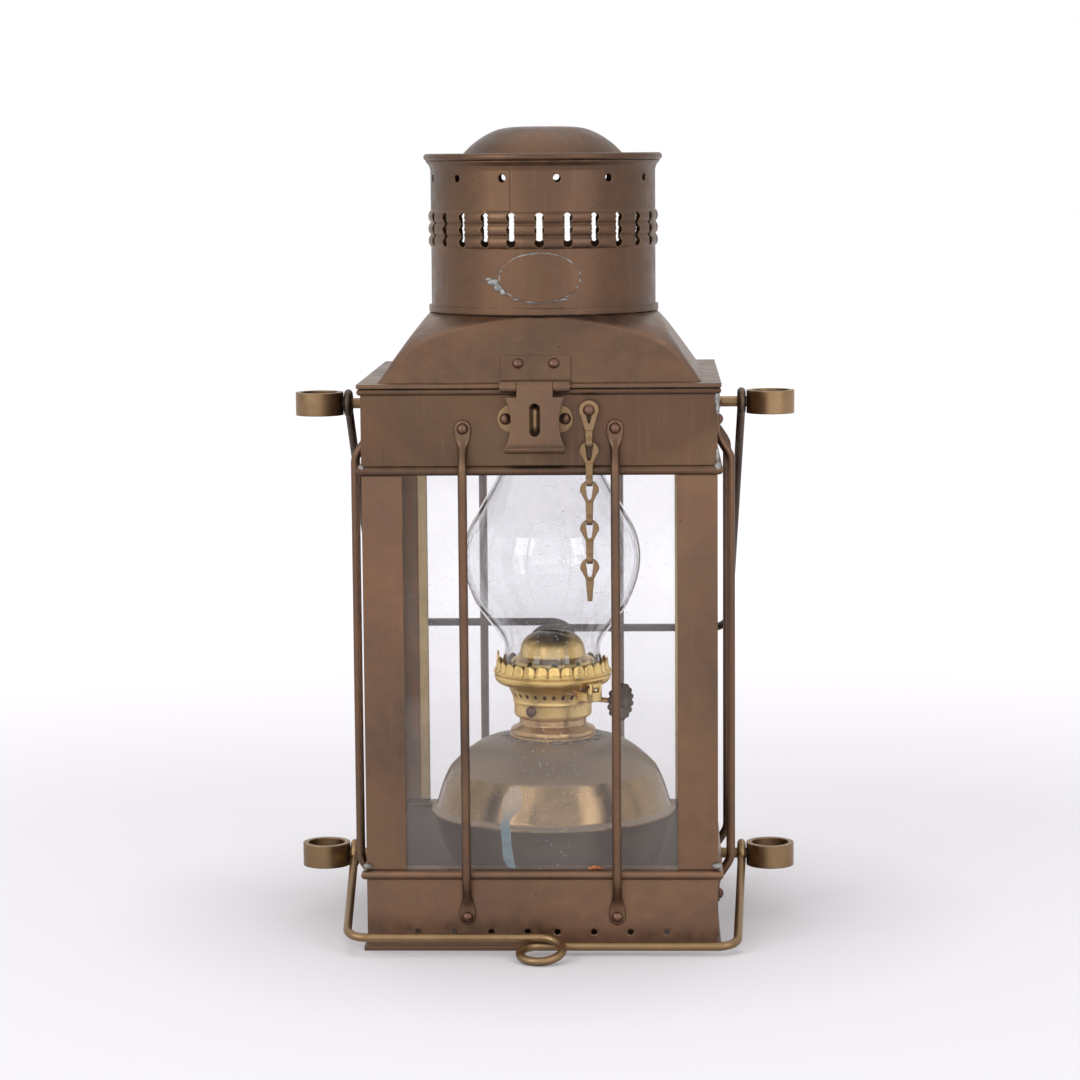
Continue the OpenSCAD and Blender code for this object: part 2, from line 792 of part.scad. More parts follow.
module roof_hood() {
    color(BRASS) difference() {
        hood_form(hood_w, drum_r + 0.4, flange_top, drum_z);
        hood_form(hood_w - 2 * sheet_t, drum_in - 0.4, flange_top - 0.05, drum_z + 0.05);
    }
}

module drum_rib(z) {
    ball = (rib_h * rib_h / 4 + rib_out * rib_out) / (2 * rib_out);
    intersection() {
        translate([drum_r + rib_out - ball, z]) circle(ball);
        translate([drum_in, 0]) square([far, far]);
    }
}

module drum_slot() {
    deep = 4 * rib_out + 4 * sheet_t;
    for (i = [-1:1]) translate([drum_r, 0, i * rib_h]) along_x(deep, slot_r);
    translate([drum_r, 0, 0]) cube([deep, 1.3 * slot_r, 2 * rib_h], center = true);
}

module chimney_drum() {
    color(BRASS) difference() {
        translate([0, 0, drum_z]) rotate_extrude($fn = 128) {
            translate([drum_in, 0]) square([sheet_t, drum_h]);
            translate([drum_in, 0]) square([sheet_t + 1.3, 3]);
            polygon([[drum_in, drum_h - flare_h], [drum_r, drum_h - flare_h],
                [drum_r + 0.25 * flare_out, drum_h - 0.55 * flare_h],
                [drum_r + flare_out, drum_h - 0.4], [drum_r + flare_out, drum_h], [drum_in, drum_h]]);
            for (i = [0:2]) drum_rib(rib_z + (i + 0.5) * rib_h);
        }
        translate([0, 0, drum_z + rib_z + 1.5 * rib_h]) for (i = [0:slot_n - 1]) {
            rotate(FRONT + (i - (slot_n - 1) / 2) * slot_step) drum_slot();
            if (i > 0 && i < slot_n - 1)
                rotate(FRONT + 180 + slot_back_turn + (i - (slot_n - 1) / 2) * slot_back_step) drum_slot();
        }
        for (i = [0:port_n - 1]) rotate(FRONT + port_turn + 360 * i / port_n)
            translate([drum_r, 0, drum_top - port_drop]) along_x(6 * sheet_t, port_d / 2);
    }
}

module cap_dome() {
    outer = concat([[dome_r, sheet_t]],
        curve([[dome_r - 1, sheet_t + 0.6], [dome_r * 0.82, dome_h * 0.5], [dome_r * 0.62, dome_h * 0.82],
            [dome_r * 0.4, dome_h * 0.975], [0, dome_h]], 5));
    section = wall_section(outer, sheet_t, [dome_r, 0], [0, dome_h - sheet_t]);
    edge = drum_r + 1.6;
    color(BRASS) translate([0, 0, drum_top]) rotate_extrude($fn = 128) {
        polygon(section);
        translate([dome_r - 0.5, 0]) square([edge - dome_r + 0.5, sheet_t]);
        translate([edge, rim_r]) circle(rim_r);
    }
}

module oval_plate() {
    color(BRASS) intersection() {
        translate([0, -drum_r, drum_z + badge_z]) rotate([90, 0, 0])
            linear_extrude(20, center = true) polygon(ellipse_points(badge_l / 2, badge_h / 2, 48));
        rotate_extrude($fn = 128) translate([drum_r + 0.05, drum_z]) square([0.9, drum_h]);
    }
}

// Hasp on the front of the lid

module hasp_leaf() {
    spans = outer_knuckles(hasp_w, hasp_mid);
    fold = strap_t * (1 - slope_out.y) / slope_up.y;
    head = hasp_foot + hasp_rise * slope_up;
    out = strap_t * slope_out;
    section = [[hasp_y, flange_top], hasp_foot, head, head + out, hasp_foot + fold * slope_up + out,
        [hasp_y, flange_top + strap_t]];
    notch = knuckle_r + 2 * pass_gap;
    color(BRASS_GOLD) difference() {
        union() {
            translate([hasp_x - hasp_w / 2, 0, 0]) rotate([90, 0, 90])
                linear_extrude(hasp_w) polygon(section);
            translate([hasp_x, hasp_y, hasp_z]) knuckles(spans, knuckle_r);
        }
        translate([hasp_x, hasp_y, hasp_z]) along_x(2 * hasp_w, bore_r);
        translate([hasp_x, hasp_y, hasp_z]) along_x(hasp_mid, notch);
        hasp_rivet_places() translate([0, 0, -strap_t - sheet_t])
            cylinder(h = 2 * strap_t + sheet_t, r = hole_r);
    }
}

// Rivet places on the slope, heads pointing out
module hasp_rivet_places() {
    at = hasp_foot + hasp_rise * 0.68 * slope_up + strap_t * slope_out;
    for (s = [-1, 1]) translate([hasp_x + s * hasp_w * 0.26, at.x, at.y])
        rotate([90 - slope_a, 0, 0]) children();
}

module hasp_rivets() {
    color(COPPER) hasp_rivet_places() rivet(strap_t - 0.1);
}

module hasp_pin() {
    color(BRASS_DARK) translate([hasp_x, hasp_y, hasp_z]) along_x(hasp_w + 0.6, pin_r);
}

// Waisted flat of the tab, hanging down from the pin
module tab_flat() {
    tall = (hasp_l - tab_top) / 2;
    bow = tab_half - tab_waist;
    side_r = (tall * tall + bow * bow) / (2 * bow);
    difference() {
        union() {
            translate([-tab_half, -hasp_l]) square([2 * tab_half, hasp_l - tab_top]);
            translate([-hasp_mid / 2 + pass_gap, -tab_top - 1])
                square([hasp_mid - 2 * pass_gap, tab_top + 1]);
        }
        for (s = [-1, 1]) translate([s * (tab_waist + side_r), -tab_top - tall]) circle(side_r, $fn = 128);
        slot_half = staple_h / 2 + 0.5 - tab_slot / 2;
        translate([-tab_slot / 2, -staple_drop - slot_half]) square([tab_slot, 2 * slot_half]);
        for (s = [-1, 1]) translate([0, -staple_drop + s * slot_half]) circle(tab_slot / 2);
    }
}

module hasp_tab() {
    lip = strap_t + 1.2;
    color(BRASS_GOLD) translate([hasp_x, hasp_y, hasp_z]) difference() {
        union() {
            translate([0, -knuckle_r + strap_t, 0]) rotate([90, 0, 0]) linear_extrude(strap_t) tab_flat();
            knuckles(mid_knuckle(hasp_mid), knuckle_r);
            translate([0, strap_t - knuckle_r - lip, -hasp_l]) difference() {
                along_x(2 * tab_half, lip);
                along_x(3 * tab_half, lip - strap_t);
                translate([-far / 2, -far / 2, 0]) cube(far);
            }
        }
        along_x(2 * hasp_w, bore_r);
    }
}

// Wire bails

// Path of a bail in its own plane: x across, -z away from the pivot, y out of the plane
function bail_half(side, length, rise) =
    let (x1 = bail_x - bail_lean)
    concat(
        [[side * bail_x, 0, -bail_eye_r], [side * x1, rise, -length + corner_r]],
        [for (a = [20:20:80])
            [side * (x1 - corner_r * (1 - cos(a))), rise, -length + corner_r * (1 - sin(a))]],
        [[side * (x1 - corner_r), rise, -length], [side * loop_r, rise, -length]]);

function bail_loop(length, rise) = [for (a = [0:15:360])
    [-loop_r * sin(a), rise * (1 - a / 180), -length - loop_r * (1 - cos(a))]];

module bail(length, rise) {
    path = concat(bail_half(1, length, rise), bail_loop(length, rise),
        reversed(bail_half(-1, length, -rise)));
    wire_along(path, wire_r, [0, 1, 0], 10);
    for (s = [-1, 1]) translate([s * bail_x, 0, 0]) rotate([0, -90, 0])
        rotate_extrude() translate([bail_eye_r, 0]) circle(wire_r);
}

module upper_bail() {
    color(BRASS_DARK) translate([0, 0, eye_z]) rotate([bail_up_a, 0, 0]) bail(bail_up_l, -loop_step);
}

module lower_bail() {
    color(BRASS_GOLD) translate([0, 0, eye_low_z])
        rotate([bail_low_a - 90, 0, 0]) bail(bail_low_l, loop_step);
}

// Oil lamp

module on_lamp(turn = 0) {
    translate([lamp_x, 0, 0]) rotate(turn) children();
}

module fount_bowl() {
    side = curve([[fount_foot, 0], [fount_r * 0.72, bowl_h * 0.2], [fount_r * 0.81, bowl_h * 0.434],
        [fount_r * 0.885, bowl_h * 0.6], [fount_r * 0.93, bowl_h * 0.75],
        [fount_r * 0.955, bowl_h * 0.88], [fount_r, bowl_h]], 4);
    section = concat([[0, 0]], side, [[fount_r - fount_t, bowl_h]], reversed(inner_side(side, fount_t)),
        [[fount_foot - fount_t, fount_t], [0, fount_t]]);
    color(BRASS_GOLD) on_lamp() translate([0, 0, floor_top]) rotate_extrude($fn = 96) polygon(section);
}

module fount_top() {
    side = curve([[fount_r, 0], [fount_r * 0.963, crown_h * 0.11], [fount_r * 0.92, crown_h * 0.28],
        [fount_r * 0.857, crown_h * 0.51], [fount_r * 0.775, crown_h * 0.7],
        [fount_r * 0.68, crown_h * 0.83], [fount_r * 0.52, crown_h * 0.93], [collar_r, crown_h]], 4);
    bore = neck_r - skin;
    section = wall_section(side, fount_t, [fount_r - fount_t, 0], [collar_r, crown_h - fount_t]);
    color(BRASS_GOLD) on_lamp() translate([0, 0, rim_z]) rotate_extrude($fn = 96) {
        polygon(section);
        translate([bore, crown_h - fount_t]) square([collar_r - bore, fount_t]);
    }
}

module screw_collar() {
    bore = neck_r + run_gap;
    color(BRASS_BRIGHT) on_lamp() translate([0, 0, crown_z]) rotate_extrude($fn = 96) {
        translate([bore, 0]) square([collar_r - bore, collar_h]);
        translate([neck_r - skin, 0]) square([collar_r - neck_r + skin, seat_t]);
    }
}

// Wick shaft line: along +X of this frame, beside the wick
module on_shaft() {
    on_lamp(-shaft_a) translate([0, shaft_off, shaft_z]) children();
}

module burner_body() {
    low = crown_z + seat_t;
    high = gallery_z - skin - pass_gap;
    outer = [[neck_r, low], [neck_r, burner_z], [burner_r, burner_z], [burner_r, cone_z],
        [cone_r, cone_top], [cone_r, high]];
    inner = [[cone_r, high], [cone_r, cone_top], [burner_r, cone_z], [burner_r, disc_z],
        [neck_r, disc_z], [neck_r, low]];
    section = concat(outer, [for (p = inner) p - [skin, 0]]);
    arm_t = 3;
    arm_z = gallery_low - arm_t - 2;
    lug_in = 2 + pass_gap;
    lug_out = lug_in + 1.4;
    color(BRASS_BRIGHT) difference() {
        union() {
            on_lamp() rotate_extrude($fn = 96) polygon(section);
            on_lamp(-tilt_a) difference() {
                union() {
                    translate([0, -lug_out, arm_z]) cube([tilt_r + 1.6, 2 * lug_out, arm_t]);
                    for (y = [-lug_out, lug_in]) translate([gallery_r + 0.7, y, arm_z])
                        cube([2.5, lug_out - lug_in, tilt_z + 1.6 - arm_z]);
                }
                translate([0, 0, arm_z - arm_t]) cylinder(h = 3 * arm_t, r = cone_r - skin - 1);
                translate([tilt_r, 0, tilt_z]) rotate([90, 0, 0])
                    cylinder(h = 4 * lug_out, r = tilt_pin_r + run_gap, center = true);
            }
        }
        on_shaft() along_x(3 * burner_r, shaft_r + run_gap);
        on_lamp() for (i = [0:cone_n - 1]) rotate(360 * i / cone_n)
            translate([(burner_r + cone_r) / 2, 0, cone_z + cone_h * 0.5]) along_x(4 * skin, 0.85);
    }
}

module burner_gallery() {
    floor_in = flame_r - skin - 1.3;
    petal_r = gallery_r - 1.5;
    ball_r = 1.8;
    color(BRASS_BRIGHT) difference() {
        union() {
            on_lamp() rotate_extrude($fn = 96) {
                translate([floor_in, gallery_z - skin]) square([gallery_r - floor_in, skin]);
                translate([gallery_r - skin, gallery_low]) square([skin, gallery_h]);
                translate([petal_r - skin, gallery_z]) square([skin, petal_h]);
            }
            on_lamp(-tilt_a) translate([tilt_r, 0, tilt_z]) rotate([90, 0, 0])
                cylinder(h = 4, r = 1.5, center = true);
            on_lamp(-tilt_a) translate([gallery_r - skin / 2, -2, tilt_z - 1]) cube([1.7, 4, 2]);
            on_lamp(180 - tilt_a) translate([gallery_r + ball_r, 0, gallery_low + 1.5]) {
                sphere(ball_r);
                translate([-ball_r, 0, 0]) along_x(2 * ball_r, 0.7);
            }
        }
        on_lamp(-tilt_a) translate([tilt_r, 0, tilt_z]) rotate([90, 0, 0])
            cylinder(h = 8, r = tilt_pin_r + run_gap, center = true);
        on_lamp() for (i = [0:petal_n - 1]) rotate(360 * i / petal_n)
            translate([petal_r, 0, gallery_z + petal_h]) along_x(4 * skin, 1.5);
    }
}

module gallery_pin() {
    color(BRASS_DARK) on_lamp(-tilt_a) translate([tilt_r, 0, tilt_z]) rotate([90, 0, 0])
        cylinder(h = 8, r = tilt_pin_r, center = true);
}

module flame_dome() {
    skirt_r = flame_r * 1.25;
    outer = curve([[skirt_r, 0], [skirt_r, flame_h * 0.12], [skirt_r * 0.985, flame_h * 0.24],
        [flame_r * 1.08, flame_h * 0.36], [flame_r, flame_h * 0.45], [flame_r * 0.93, flame_h * 0.6],
        [flame_r * 0.77, flame_h * 0.78], [flame_r * 0.5, flame_h * 0.92], [flame_r * 0.22, flame_h * 0.985],
        [0, flame_h]], 4);
    color(BRASS_BRIGHT) difference() {
        on_lamp() translate([0, 0, gallery_z]) rotate_extrude($fn = 96)
            polygon(wall_section(outer, skin, [skirt_r - skin, 0], [0, flame_h - skin]));
        on_lamp(-shaft_a) translate([0, 0, gallery_z + flame_h])
            cube([wick_w + 3, wick_t + 4, flame_h / 2], center = true);
        on_lamp() for (i = [0:7]) rotate(45 * i - 90)
            translate([skirt_r, 0, gallery_z + flame_h * 0.14]) along_x(4 * skin, 1.1);
    }
}

module wick_tube() {
    inner_w = wick_w + 1;
    inner_t = wick_t + 0.6;
    outer_w = inner_w + 2 * tube_t;
    outer_t = inner_t + 2 * tube_t;
    color(BRASS) difference() {
        union() {
            on_lamp(-shaft_a) translate([-outer_w / 2, -outer_t / 2, tube_z])
                cube([outer_w, outer_t, tube_top - tube_z]);
            on_lamp() translate([0, 0, disc_z]) cylinder(h = disc_t, r = burner_r - skin - run_gap);
        }
        on_lamp(-shaft_a) translate([-inner_w / 2, -inner_t / 2, tube_z - 1]) cube([inner_w, inner_t, far]);
        on_shaft() for (s = [-1, 1]) translate([s * wick_w / 4, 0, 0]) along_x(2.8, spur_r + pass_gap);
        on_lamp(-shaft_a) for (s = [-1, 1], i = [-1:1])
            translate([i * wick_w * 0.43, s * burner_r * 0.49, disc_z])
                cylinder(h = 4 * disc_t, r = 2 * disc_t, center = true);
    }
}

module wick() {
    low = floor_top + bowl_h * 0.24;
    color([0.85, 0.82, 0.74]) on_lamp(-shaft_a) translate([-wick_w / 2, -wick_t / 2, low])
        cube([wick_w, wick_t, tube_top + wick_up - low]);
}

module spur_wheel() {
    teeth = 9;
    rotate([0, 90, 0]) linear_extrude(1.6, center = true)
        polygon([for (i = [0:2 * teeth - 1]) let (r = i % 2 == 0 ? spur_r : spur_r - 1.1)
            r * [cos(180 * i / teeth), sin(180 * i / teeth)]]);
}

module wick_shaft() {
    inner_end = sqrt(pow(burner_r - skin / 2, 2) - shaft_off * shaft_off);
    outer_end = knob_s + knob_t;
    color(BRASS_GOLD) on_shaft() {
        translate([(outer_end - inner_end) / 2, 0, 0]) along_x(outer_end + inner_end, shaft_r);
        for (s = [-1, 1]) translate([s * wick_w / 4, 0, 0]) spur_wheel();
    }
}

module wick_knob() {
    scallops = 14;
    color(BRASS_DARK) on_shaft() translate([knob_s + knob_t / 2, 0, 0]) difference() {
        along_x(knob_t, knob_r);
        along_x(2 * knob_t, shaft_r + run_gap / 2);
        for (i = [0:scallops - 1]) rotate([360 * i / scallops, 0, 0])
            translate([0, 0, knob_r + 0.2]) along_x(2 * knob_t, 1.1);
    }
}

module lamp_glass() {
    outer = curve([[glass_foot, 0], [glass_foot * 0.98, glass_h * 0.045], [glass_foot * 0.95, glass_h * 0.09],
        [glass_r * 0.61, glass_h * 0.135], [glass_r * 0.72, glass_h * 0.183],
        [glass_r * 0.865, glass_h * 0.25], [glass_r * 0.97, glass_h * 0.34], [glass_r, glass_h * 0.43],
        [glass_r * 0.94, glass_h * 0.52], [glass_r * 0.79, glass_h * 0.607], [glass_r * 0.6, glass_h * 0.72],
        [glass_r * 0.495, glass_h * 0.815], [glass_top * 1.02, glass_h * 0.92], [glass_top, glass_h]], 3);
    color(GLASS) on_lamp() translate([0, 0, gallery_z]) rotate_extrude($fn = 96)
        polygon(wall_section(outer, glass_t, [glass_foot - glass_t, 0], [glass_top - glass_t, glass_h]));
}

base_tray();
base_floor();
corner_post(-1, -1);  // corner_post_fl
corner_post(1, -1);  // corner_post_fr
corner_post(-1, 1);  // corner_post_rl
corner_post(1, 1);  // corner_post_rr
top_band();
pane(FRONT);  // pane_front
pane(BACK);  // pane_back
pane(LEFT);  // pane_left
pane(RIGHT);  // pane_right
guard_rods(FRONT);  // guard_rods_front
guard_rods(BACK);  // guard_rods_back
guard_rods(LEFT);  // guard_rods_left
guard_rods(RIGHT);  // guard_rods_right
guard_rivets();
guide_eye(LEFT, eye_z);  // guide_eye_upper_left
guide_eye(RIGHT, eye_z);  // guide_eye_upper_right
guide_eye(LEFT, eye_low_z);  // guide_eye_lower_left
guide_eye(RIGHT, eye_low_z);  // guide_eye_lower_right
guide_eye_rivets();
staple_plate();
staple();
staple_rivets();
chain_rivet();
chain_link_first();  // chain_link_1
chain_link_next(0);  // chain_link_2
chain_link_next(1);  // chain_link_3
chain_link_next(2);  // chain_link_4
chain_link_next(3);  // chain_link_5
hinge_body_leaf();
hinge_body_rivets();
hinge_lid_leaf();
hinge_lid_rivets();
hinge_pin();
lid_flange();
roof_hood();
chimney_drum();
cap_dome();
oval_plate();
hasp_leaf();
hasp_pin();
hasp_rivets();
hasp_tab();
upper_bail();
lower_bail();
fount_bowl();
fount_top();
screw_collar();
burner_body();
burner_gallery();
gallery_pin();
flame_dome();
wick_tube();
wick();
wick_shaft();
wick_knob();
lamp_glass();
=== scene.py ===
"""Looks of a square brass ship's oil lantern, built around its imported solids."""

import math
import random

import bmesh
import bpy
from mathutils import Matrix, Vector


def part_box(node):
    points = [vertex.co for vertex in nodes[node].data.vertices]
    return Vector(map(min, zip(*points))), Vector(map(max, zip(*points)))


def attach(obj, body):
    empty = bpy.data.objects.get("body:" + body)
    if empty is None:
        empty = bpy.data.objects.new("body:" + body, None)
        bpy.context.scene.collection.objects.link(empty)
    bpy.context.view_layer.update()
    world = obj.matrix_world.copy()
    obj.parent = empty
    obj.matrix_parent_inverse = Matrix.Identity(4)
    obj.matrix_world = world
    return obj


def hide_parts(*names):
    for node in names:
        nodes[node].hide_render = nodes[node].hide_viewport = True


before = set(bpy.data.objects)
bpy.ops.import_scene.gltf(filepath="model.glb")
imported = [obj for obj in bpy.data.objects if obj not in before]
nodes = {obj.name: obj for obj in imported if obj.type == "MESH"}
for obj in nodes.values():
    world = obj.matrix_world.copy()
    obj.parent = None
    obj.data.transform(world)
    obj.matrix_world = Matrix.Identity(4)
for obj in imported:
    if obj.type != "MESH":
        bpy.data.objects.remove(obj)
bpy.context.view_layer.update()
scene = bpy.context.scene
MM = 0.001
chance = random.Random(7)

# Camera, from the landmarks of the photo, in metres and degrees

CAMERA_AT = (0.0515, -1.529, 0.369)
CAMERA_PITCH = 6.96
CAMERA_YAW = 2.03
CAMERA_ROLL = -0.45
CAMERA_LENS = 106.2
CAMERA_SENSOR = 36
CAMERA_NEAR = 0.05

camera_data = bpy.data.cameras.new("camera")
camera_data.lens = CAMERA_LENS
camera_data.sensor_width = CAMERA_SENSOR
camera_data.clip_start = CAMERA_NEAR
camera = bpy.data.objects.new("camera", camera_data)
camera.location = CAMERA_AT
camera.rotation_mode = "QUATERNION"
yaw, pitch, roll = (math.radians(a) for a in (CAMERA_YAW, CAMERA_PITCH, CAMERA_ROLL))
forward = Vector((-math.sin(yaw) * math.cos(pitch), math.cos(yaw) * math.cos(pitch), -math.sin(pitch)))
right = Vector((math.cos(yaw), math.sin(yaw), 0))
up = right.cross(forward)
right, up = (math.cos(roll) * right + math.sin(roll) * up, math.cos(roll) * up - math.sin(roll) * right)
camera.rotation_quaternion = Matrix((right, up, -forward)).transposed().to_quaternion()
scene.collection.objects.link(camera)
scene.camera = camera

# Sizes of the solids that the pieces repeat, in millimetres

HALF = 81.5
BAND_Z = 222
BASE_H = 38
FLANGE_TOP = 263.8
HOOD_HALF = 74.5
HOOD_ROUND = 4
HOOD_FULL = 4.5
DRUM_Z = 293.5
DRUM_R = 53.6
SHEET = 1.2
LAMP_X = 3.0
CROWN_Z = 86.7

# Materials: the range that most of a noise lies in

NOISE_RANGE = (0.3, 0.7)


class Shade:
    """One material: a Principled shader and short calls for the nodes that feed it."""

    def __init__(self, name):
        self.material = bpy.data.materials.new(name)
        self.material.use_nodes = True
        self.tree = self.material.node_tree
        self.shader = self.tree.nodes["Principled BSDF"]
        self.output = self.tree.nodes["Material Output"]
        self.place = self.add("ShaderNodeTexCoord").outputs["Object"]

    def add(self, kind, inputs=None, **settings):
        """A new node with its settings, and its inputs set or linked."""
        node = self.tree.nodes.new(kind)
        for key, value in settings.items():
            setattr(node, key, value)
        for key, value in (inputs or {}).items():
            self.feed(node.inputs[key], value)
        return node

    def feed(self, socket, value):
        if isinstance(value, bpy.types.NodeSocket):
            self.tree.links.new(value, socket)
        else:
            socket.default_value = value

    def set(self, **values):
        """Shader inputs by name, with _ for a space."""
        for key, value in values.items():
            self.feed(self.shader.inputs[key.replace("_", " ")], value)

    def noise(self, scale, detail=4.0, stretch=(1, 1, 1), twist=0.0, shift=0.0):
        """Noise with features of about 1 / scale metres, drawn out along an axis by a small stretch."""
        at = self.add("ShaderNodeMapping", {"Vector": self.place, "Scale": stretch,
                                            "Location": (shift, shift, shift)})
        made = self.add("ShaderNodeTexNoise", {"Vector": at.outputs["Vector"], "Scale": scale,
                                               "Detail": detail, "Distortion": twist})
        return made.outputs["Fac"]

    def span(self, value, low, high, to_low=0.0, to_high=1.0):
        """The value from low to high, mapped and clamped."""
        return self.add("ShaderNodeMapRange", {"Value": value, "From Min": low, "From Max": high,
                                               "To Min": to_low, "To Max": to_high}).outputs["Result"]

    def spread(self, noise, to_low=0.0, to_high=1.0):
        """The range that most of a noise lies in, mapped and clamped."""
        return self.span(noise, *NOISE_RANGE, to_low, to_high)

    def maths(self, operation, first, second):
        return self.add("ShaderNodeMath", {0: first, 1: second}, operation=operation).outputs["Value"]

    def vectors(self, operation, first, second=(0, 0, 0), result="Vector"):
        """A sum with vectors; an operation on one vector leaves out the second."""
        return self.add("ShaderNodeVectorMath", {0: first, 1: second}, operation=operation).outputs[result]

    def height(self):
        """The height in the frame, in metres."""
        return self.add("ShaderNodeSeparateXYZ", {"Vector": self.place}).outputs["Z"]

    def within(self, half):
        """One inside a square shaft about the vertical axis, in metres, and nought outside."""
        apart = self.add("ShaderNodeSeparateXYZ", {"Vector": self.vectors("ABSOLUTE", self.place)})
        widest = self.maths("MAXIMUM", apart.outputs["X"], apart.outputs["Y"])
        return self.maths("LESS_THAN", widest, half)

    def ramp(self, value, stops):
        """Colours at positions from 0 to 1."""
        made = self.add("ShaderNodeValToRGB", {"Fac": value})
        bar = made.color_ramp.elements
        while len(bar) < len(stops):
            bar.new(0.5)
        for element, (position, colour) in zip(bar, stops):
            element.position = position
            element.color = (*colour, 1)
        return made.outputs["Color"]

    def blend(self, share, first, second):
        """The first colour turning into the second."""
        made = self.add("ShaderNodeMix", data_type="RGBA")
        for key, value in ((0, share), (6, first), (7, second)):
            if isinstance(value, tuple):
                value = (*value, 1)
            self.feed(made.inputs[key], value)
        return made.outputs[2]

    def layered(self, share, first, second):
        """The first shader turning into the second."""
        return self.add("ShaderNodeMixShader", {"Fac": share, 1: first, 2: second}).outputs["Shader"]

    def bump(self, layers, normal=None):
        """Bumps on top of each other: height, depth in metres."""
        for height, depth in layers:
            made = self.add("ShaderNodeBump", {"Height": height, "Distance": depth, "Strength": 1.0})
            if normal is not None:
                self.feed(made.inputs["Normal"], normal)
            normal = made.outputs["Normal"]
        self.feed(self.shader.inputs["Normal"], normal)


def scaled(colour, level):
    return tuple(level * c for c in colour)


def shaded(tones, level):
    """The same tones, lighter or darker."""
    return [(position, scaled(colour, level)) for position, colour in tones]


# Old brass: how many of each pattern there are to a metre, and depths and distances in metres

CLOUD_SCALE = 11
PATCH_SCALE = 8
DENT_SCALE = 26
SOOT_SCALE = 110
MOTTLE_SCALE = 150
STREAK_SCALE = 300
STREAK_STRETCH = (1, 1, 0.09)
SPECK_SCALE = 620
GRAIN_SCALE = 1500
DENT_DEPTH = 0.0001
STREAK_DEPTH = 0.000006
GRAIN_DEPTH = 0.00001
EDGE_RADIUS = 0.0009
CORNER_REACH = 0.005
METAL_LEVEL = 0.9
EDGE_MOST = 0.6
# Colour of dirt and specks, and of the painted shade in corners
DIRT_AND_SHADE = (0.04, 0.028, 0.02)
SOOT = (0.025, 0.023, 0.022)

# Faces within the body, in millimetres: how far in they start, and the reach of the rolled sill

INSIDE_DEPTH = 0.5
SILL = 4


def worn_metal(name, tones, rub, rough, soot=None, dirt_and_shade_most=0.8, shine=1.0, streak_most=0.13, inside=None,
               dust=None):
    """Old brass: clouds of patina, rubbed edges, dirt and painted shade in the corners, fine scratches.

    soot is the heights between which black sets in. inside is the colour of the dull faces within the body,
    and dust the colour of what lies on faces that look up.
    """
    s = Shade(name)
    level = 1 - (1 - METAL_LEVEL) * shine
    rub = scaled(rub, level)
    clouds = s.noise(CLOUD_SCALE, 4, twist=0.5)
    mottle = s.noise(MOTTLE_SCALE, 5, shift=3)
    grain = s.noise(GRAIN_SCALE, 3, shift=7)
    mixed = s.maths("ADD", s.maths("MULTIPLY", clouds, 0.7), s.maths("MULTIPLY", mottle, 0.3))
    colour = s.ramp(s.spread(mixed), shaded(tones, level))
    patches = s.noise(PATCH_SCALE, 5, twist=0.8, shift=13)
    colour = s.blend(s.span(patches, 0.52, 0.75, 0, 0.3), colour, rub)
    streaks = s.noise(STREAK_SCALE, 3, stretch=STREAK_STRETCH, shift=11)
    colour = s.blend(s.span(streaks, 0.56, 0.8, 0, streak_most), colour, rub)
    soft = s.add("ShaderNodeBevel", {"Radius": EDGE_RADIUS}, samples=4).outputs["Normal"]
    flat = s.add("ShaderNodeNewGeometry").outputs["Normal"]
    alike = s.vectors("DOT_PRODUCT", soft, flat, "Value")
    edge = s.maths("MULTIPLY", s.span(alike, 0.985, 0.88), s.span(mottle, 0.4, 0.62, 0.15, EDGE_MOST))
    colour = s.blend(edge, colour, rub)
    # Painted shade: ambient occlusion darkens corners and hollows towards the dirt colour and dulls the metal
    # there, mixed with real dirt by the mottle
    corner = s.add("ShaderNodeAmbientOcclusion", {"Distance": CORNER_REACH}, samples=6).outputs["AO"]
    uneven = s.span(mottle, 0.35, 0.6, 0.3 * dirt_and_shade_most, dirt_and_shade_most)
    dirt_and_shade = s.maths("MULTIPLY", s.span(corner, 0.7, 0.2), uneven)
    colour = s.blend(dirt_and_shade, colour, DIRT_AND_SHADE)
    specks = s.span(s.noise(SPECK_SCALE, 2, shift=5), 0.71, 0.76, 0, 0.6)
    colour = s.blend(specks, colour, DIRT_AND_SHADE)
    if soot is not None:
        spots = s.span(s.noise(SOOT_SCALE, 4, shift=6), 0.3, 0.55)
        colour = s.blend(s.maths("MULTIPLY", s.span(s.height(), *soot), spots), colour, SOOT)
    polish = s.maths("ADD", mottle, s.span(streaks, 0.5, 0.8, 0, -0.1))
    metal = s.span(dirt_and_shade, 0, 1, shine, 0.4 * shine)
    gloss = s.spread(polish, *rough)
    if inside is not None:
        below = s.maths("LESS_THAN", s.height(), (BASE_H - SILL) * MM)
        above = s.maths("GREATER_THAN", s.height(), (BASE_H + SILL) * MM)
        within = s.maths("MULTIPLY", s.within((HALF - INSIDE_DEPTH) * MM), s.maths("MAXIMUM", below, above))
        colour = s.blend(s.maths("MULTIPLY", within, s.spread(clouds, 0.6, 0.95)), colour, inside)
        metal = s.maths("MULTIPLY", metal, s.span(within, 0, 1, 1, 0.1))
    if dust is not None:
        upward = s.add("ShaderNodeSeparateXYZ", {"Vector": flat}).outputs["Z"]
        settled = s.maths("MULTIPLY", s.span(upward, 0.42, 0.85), s.spread(clouds, 0.65, 0.9))
        colour = s.blend(settled, colour, dust)
        metal = s.maths("MULTIPLY", metal, s.span(settled, 0, 1, 1, 0.25))
        gloss = s.maths("ADD", gloss, s.span(settled, 0, 1, 0, 0.25))
    s.set(Base_Color=colour, Metallic=metal, Roughness=gloss)
    dents = s.noise(DENT_SCALE, 1, shift=2)
    s.bump([(dents, DENT_DEPTH), (streaks, STREAK_DEPTH), (grain, GRAIN_DEPTH)], soft)
    return s.material


# Clear glass: patterns to a metre, and heights in metres between which the haze on a pane's foot comes in

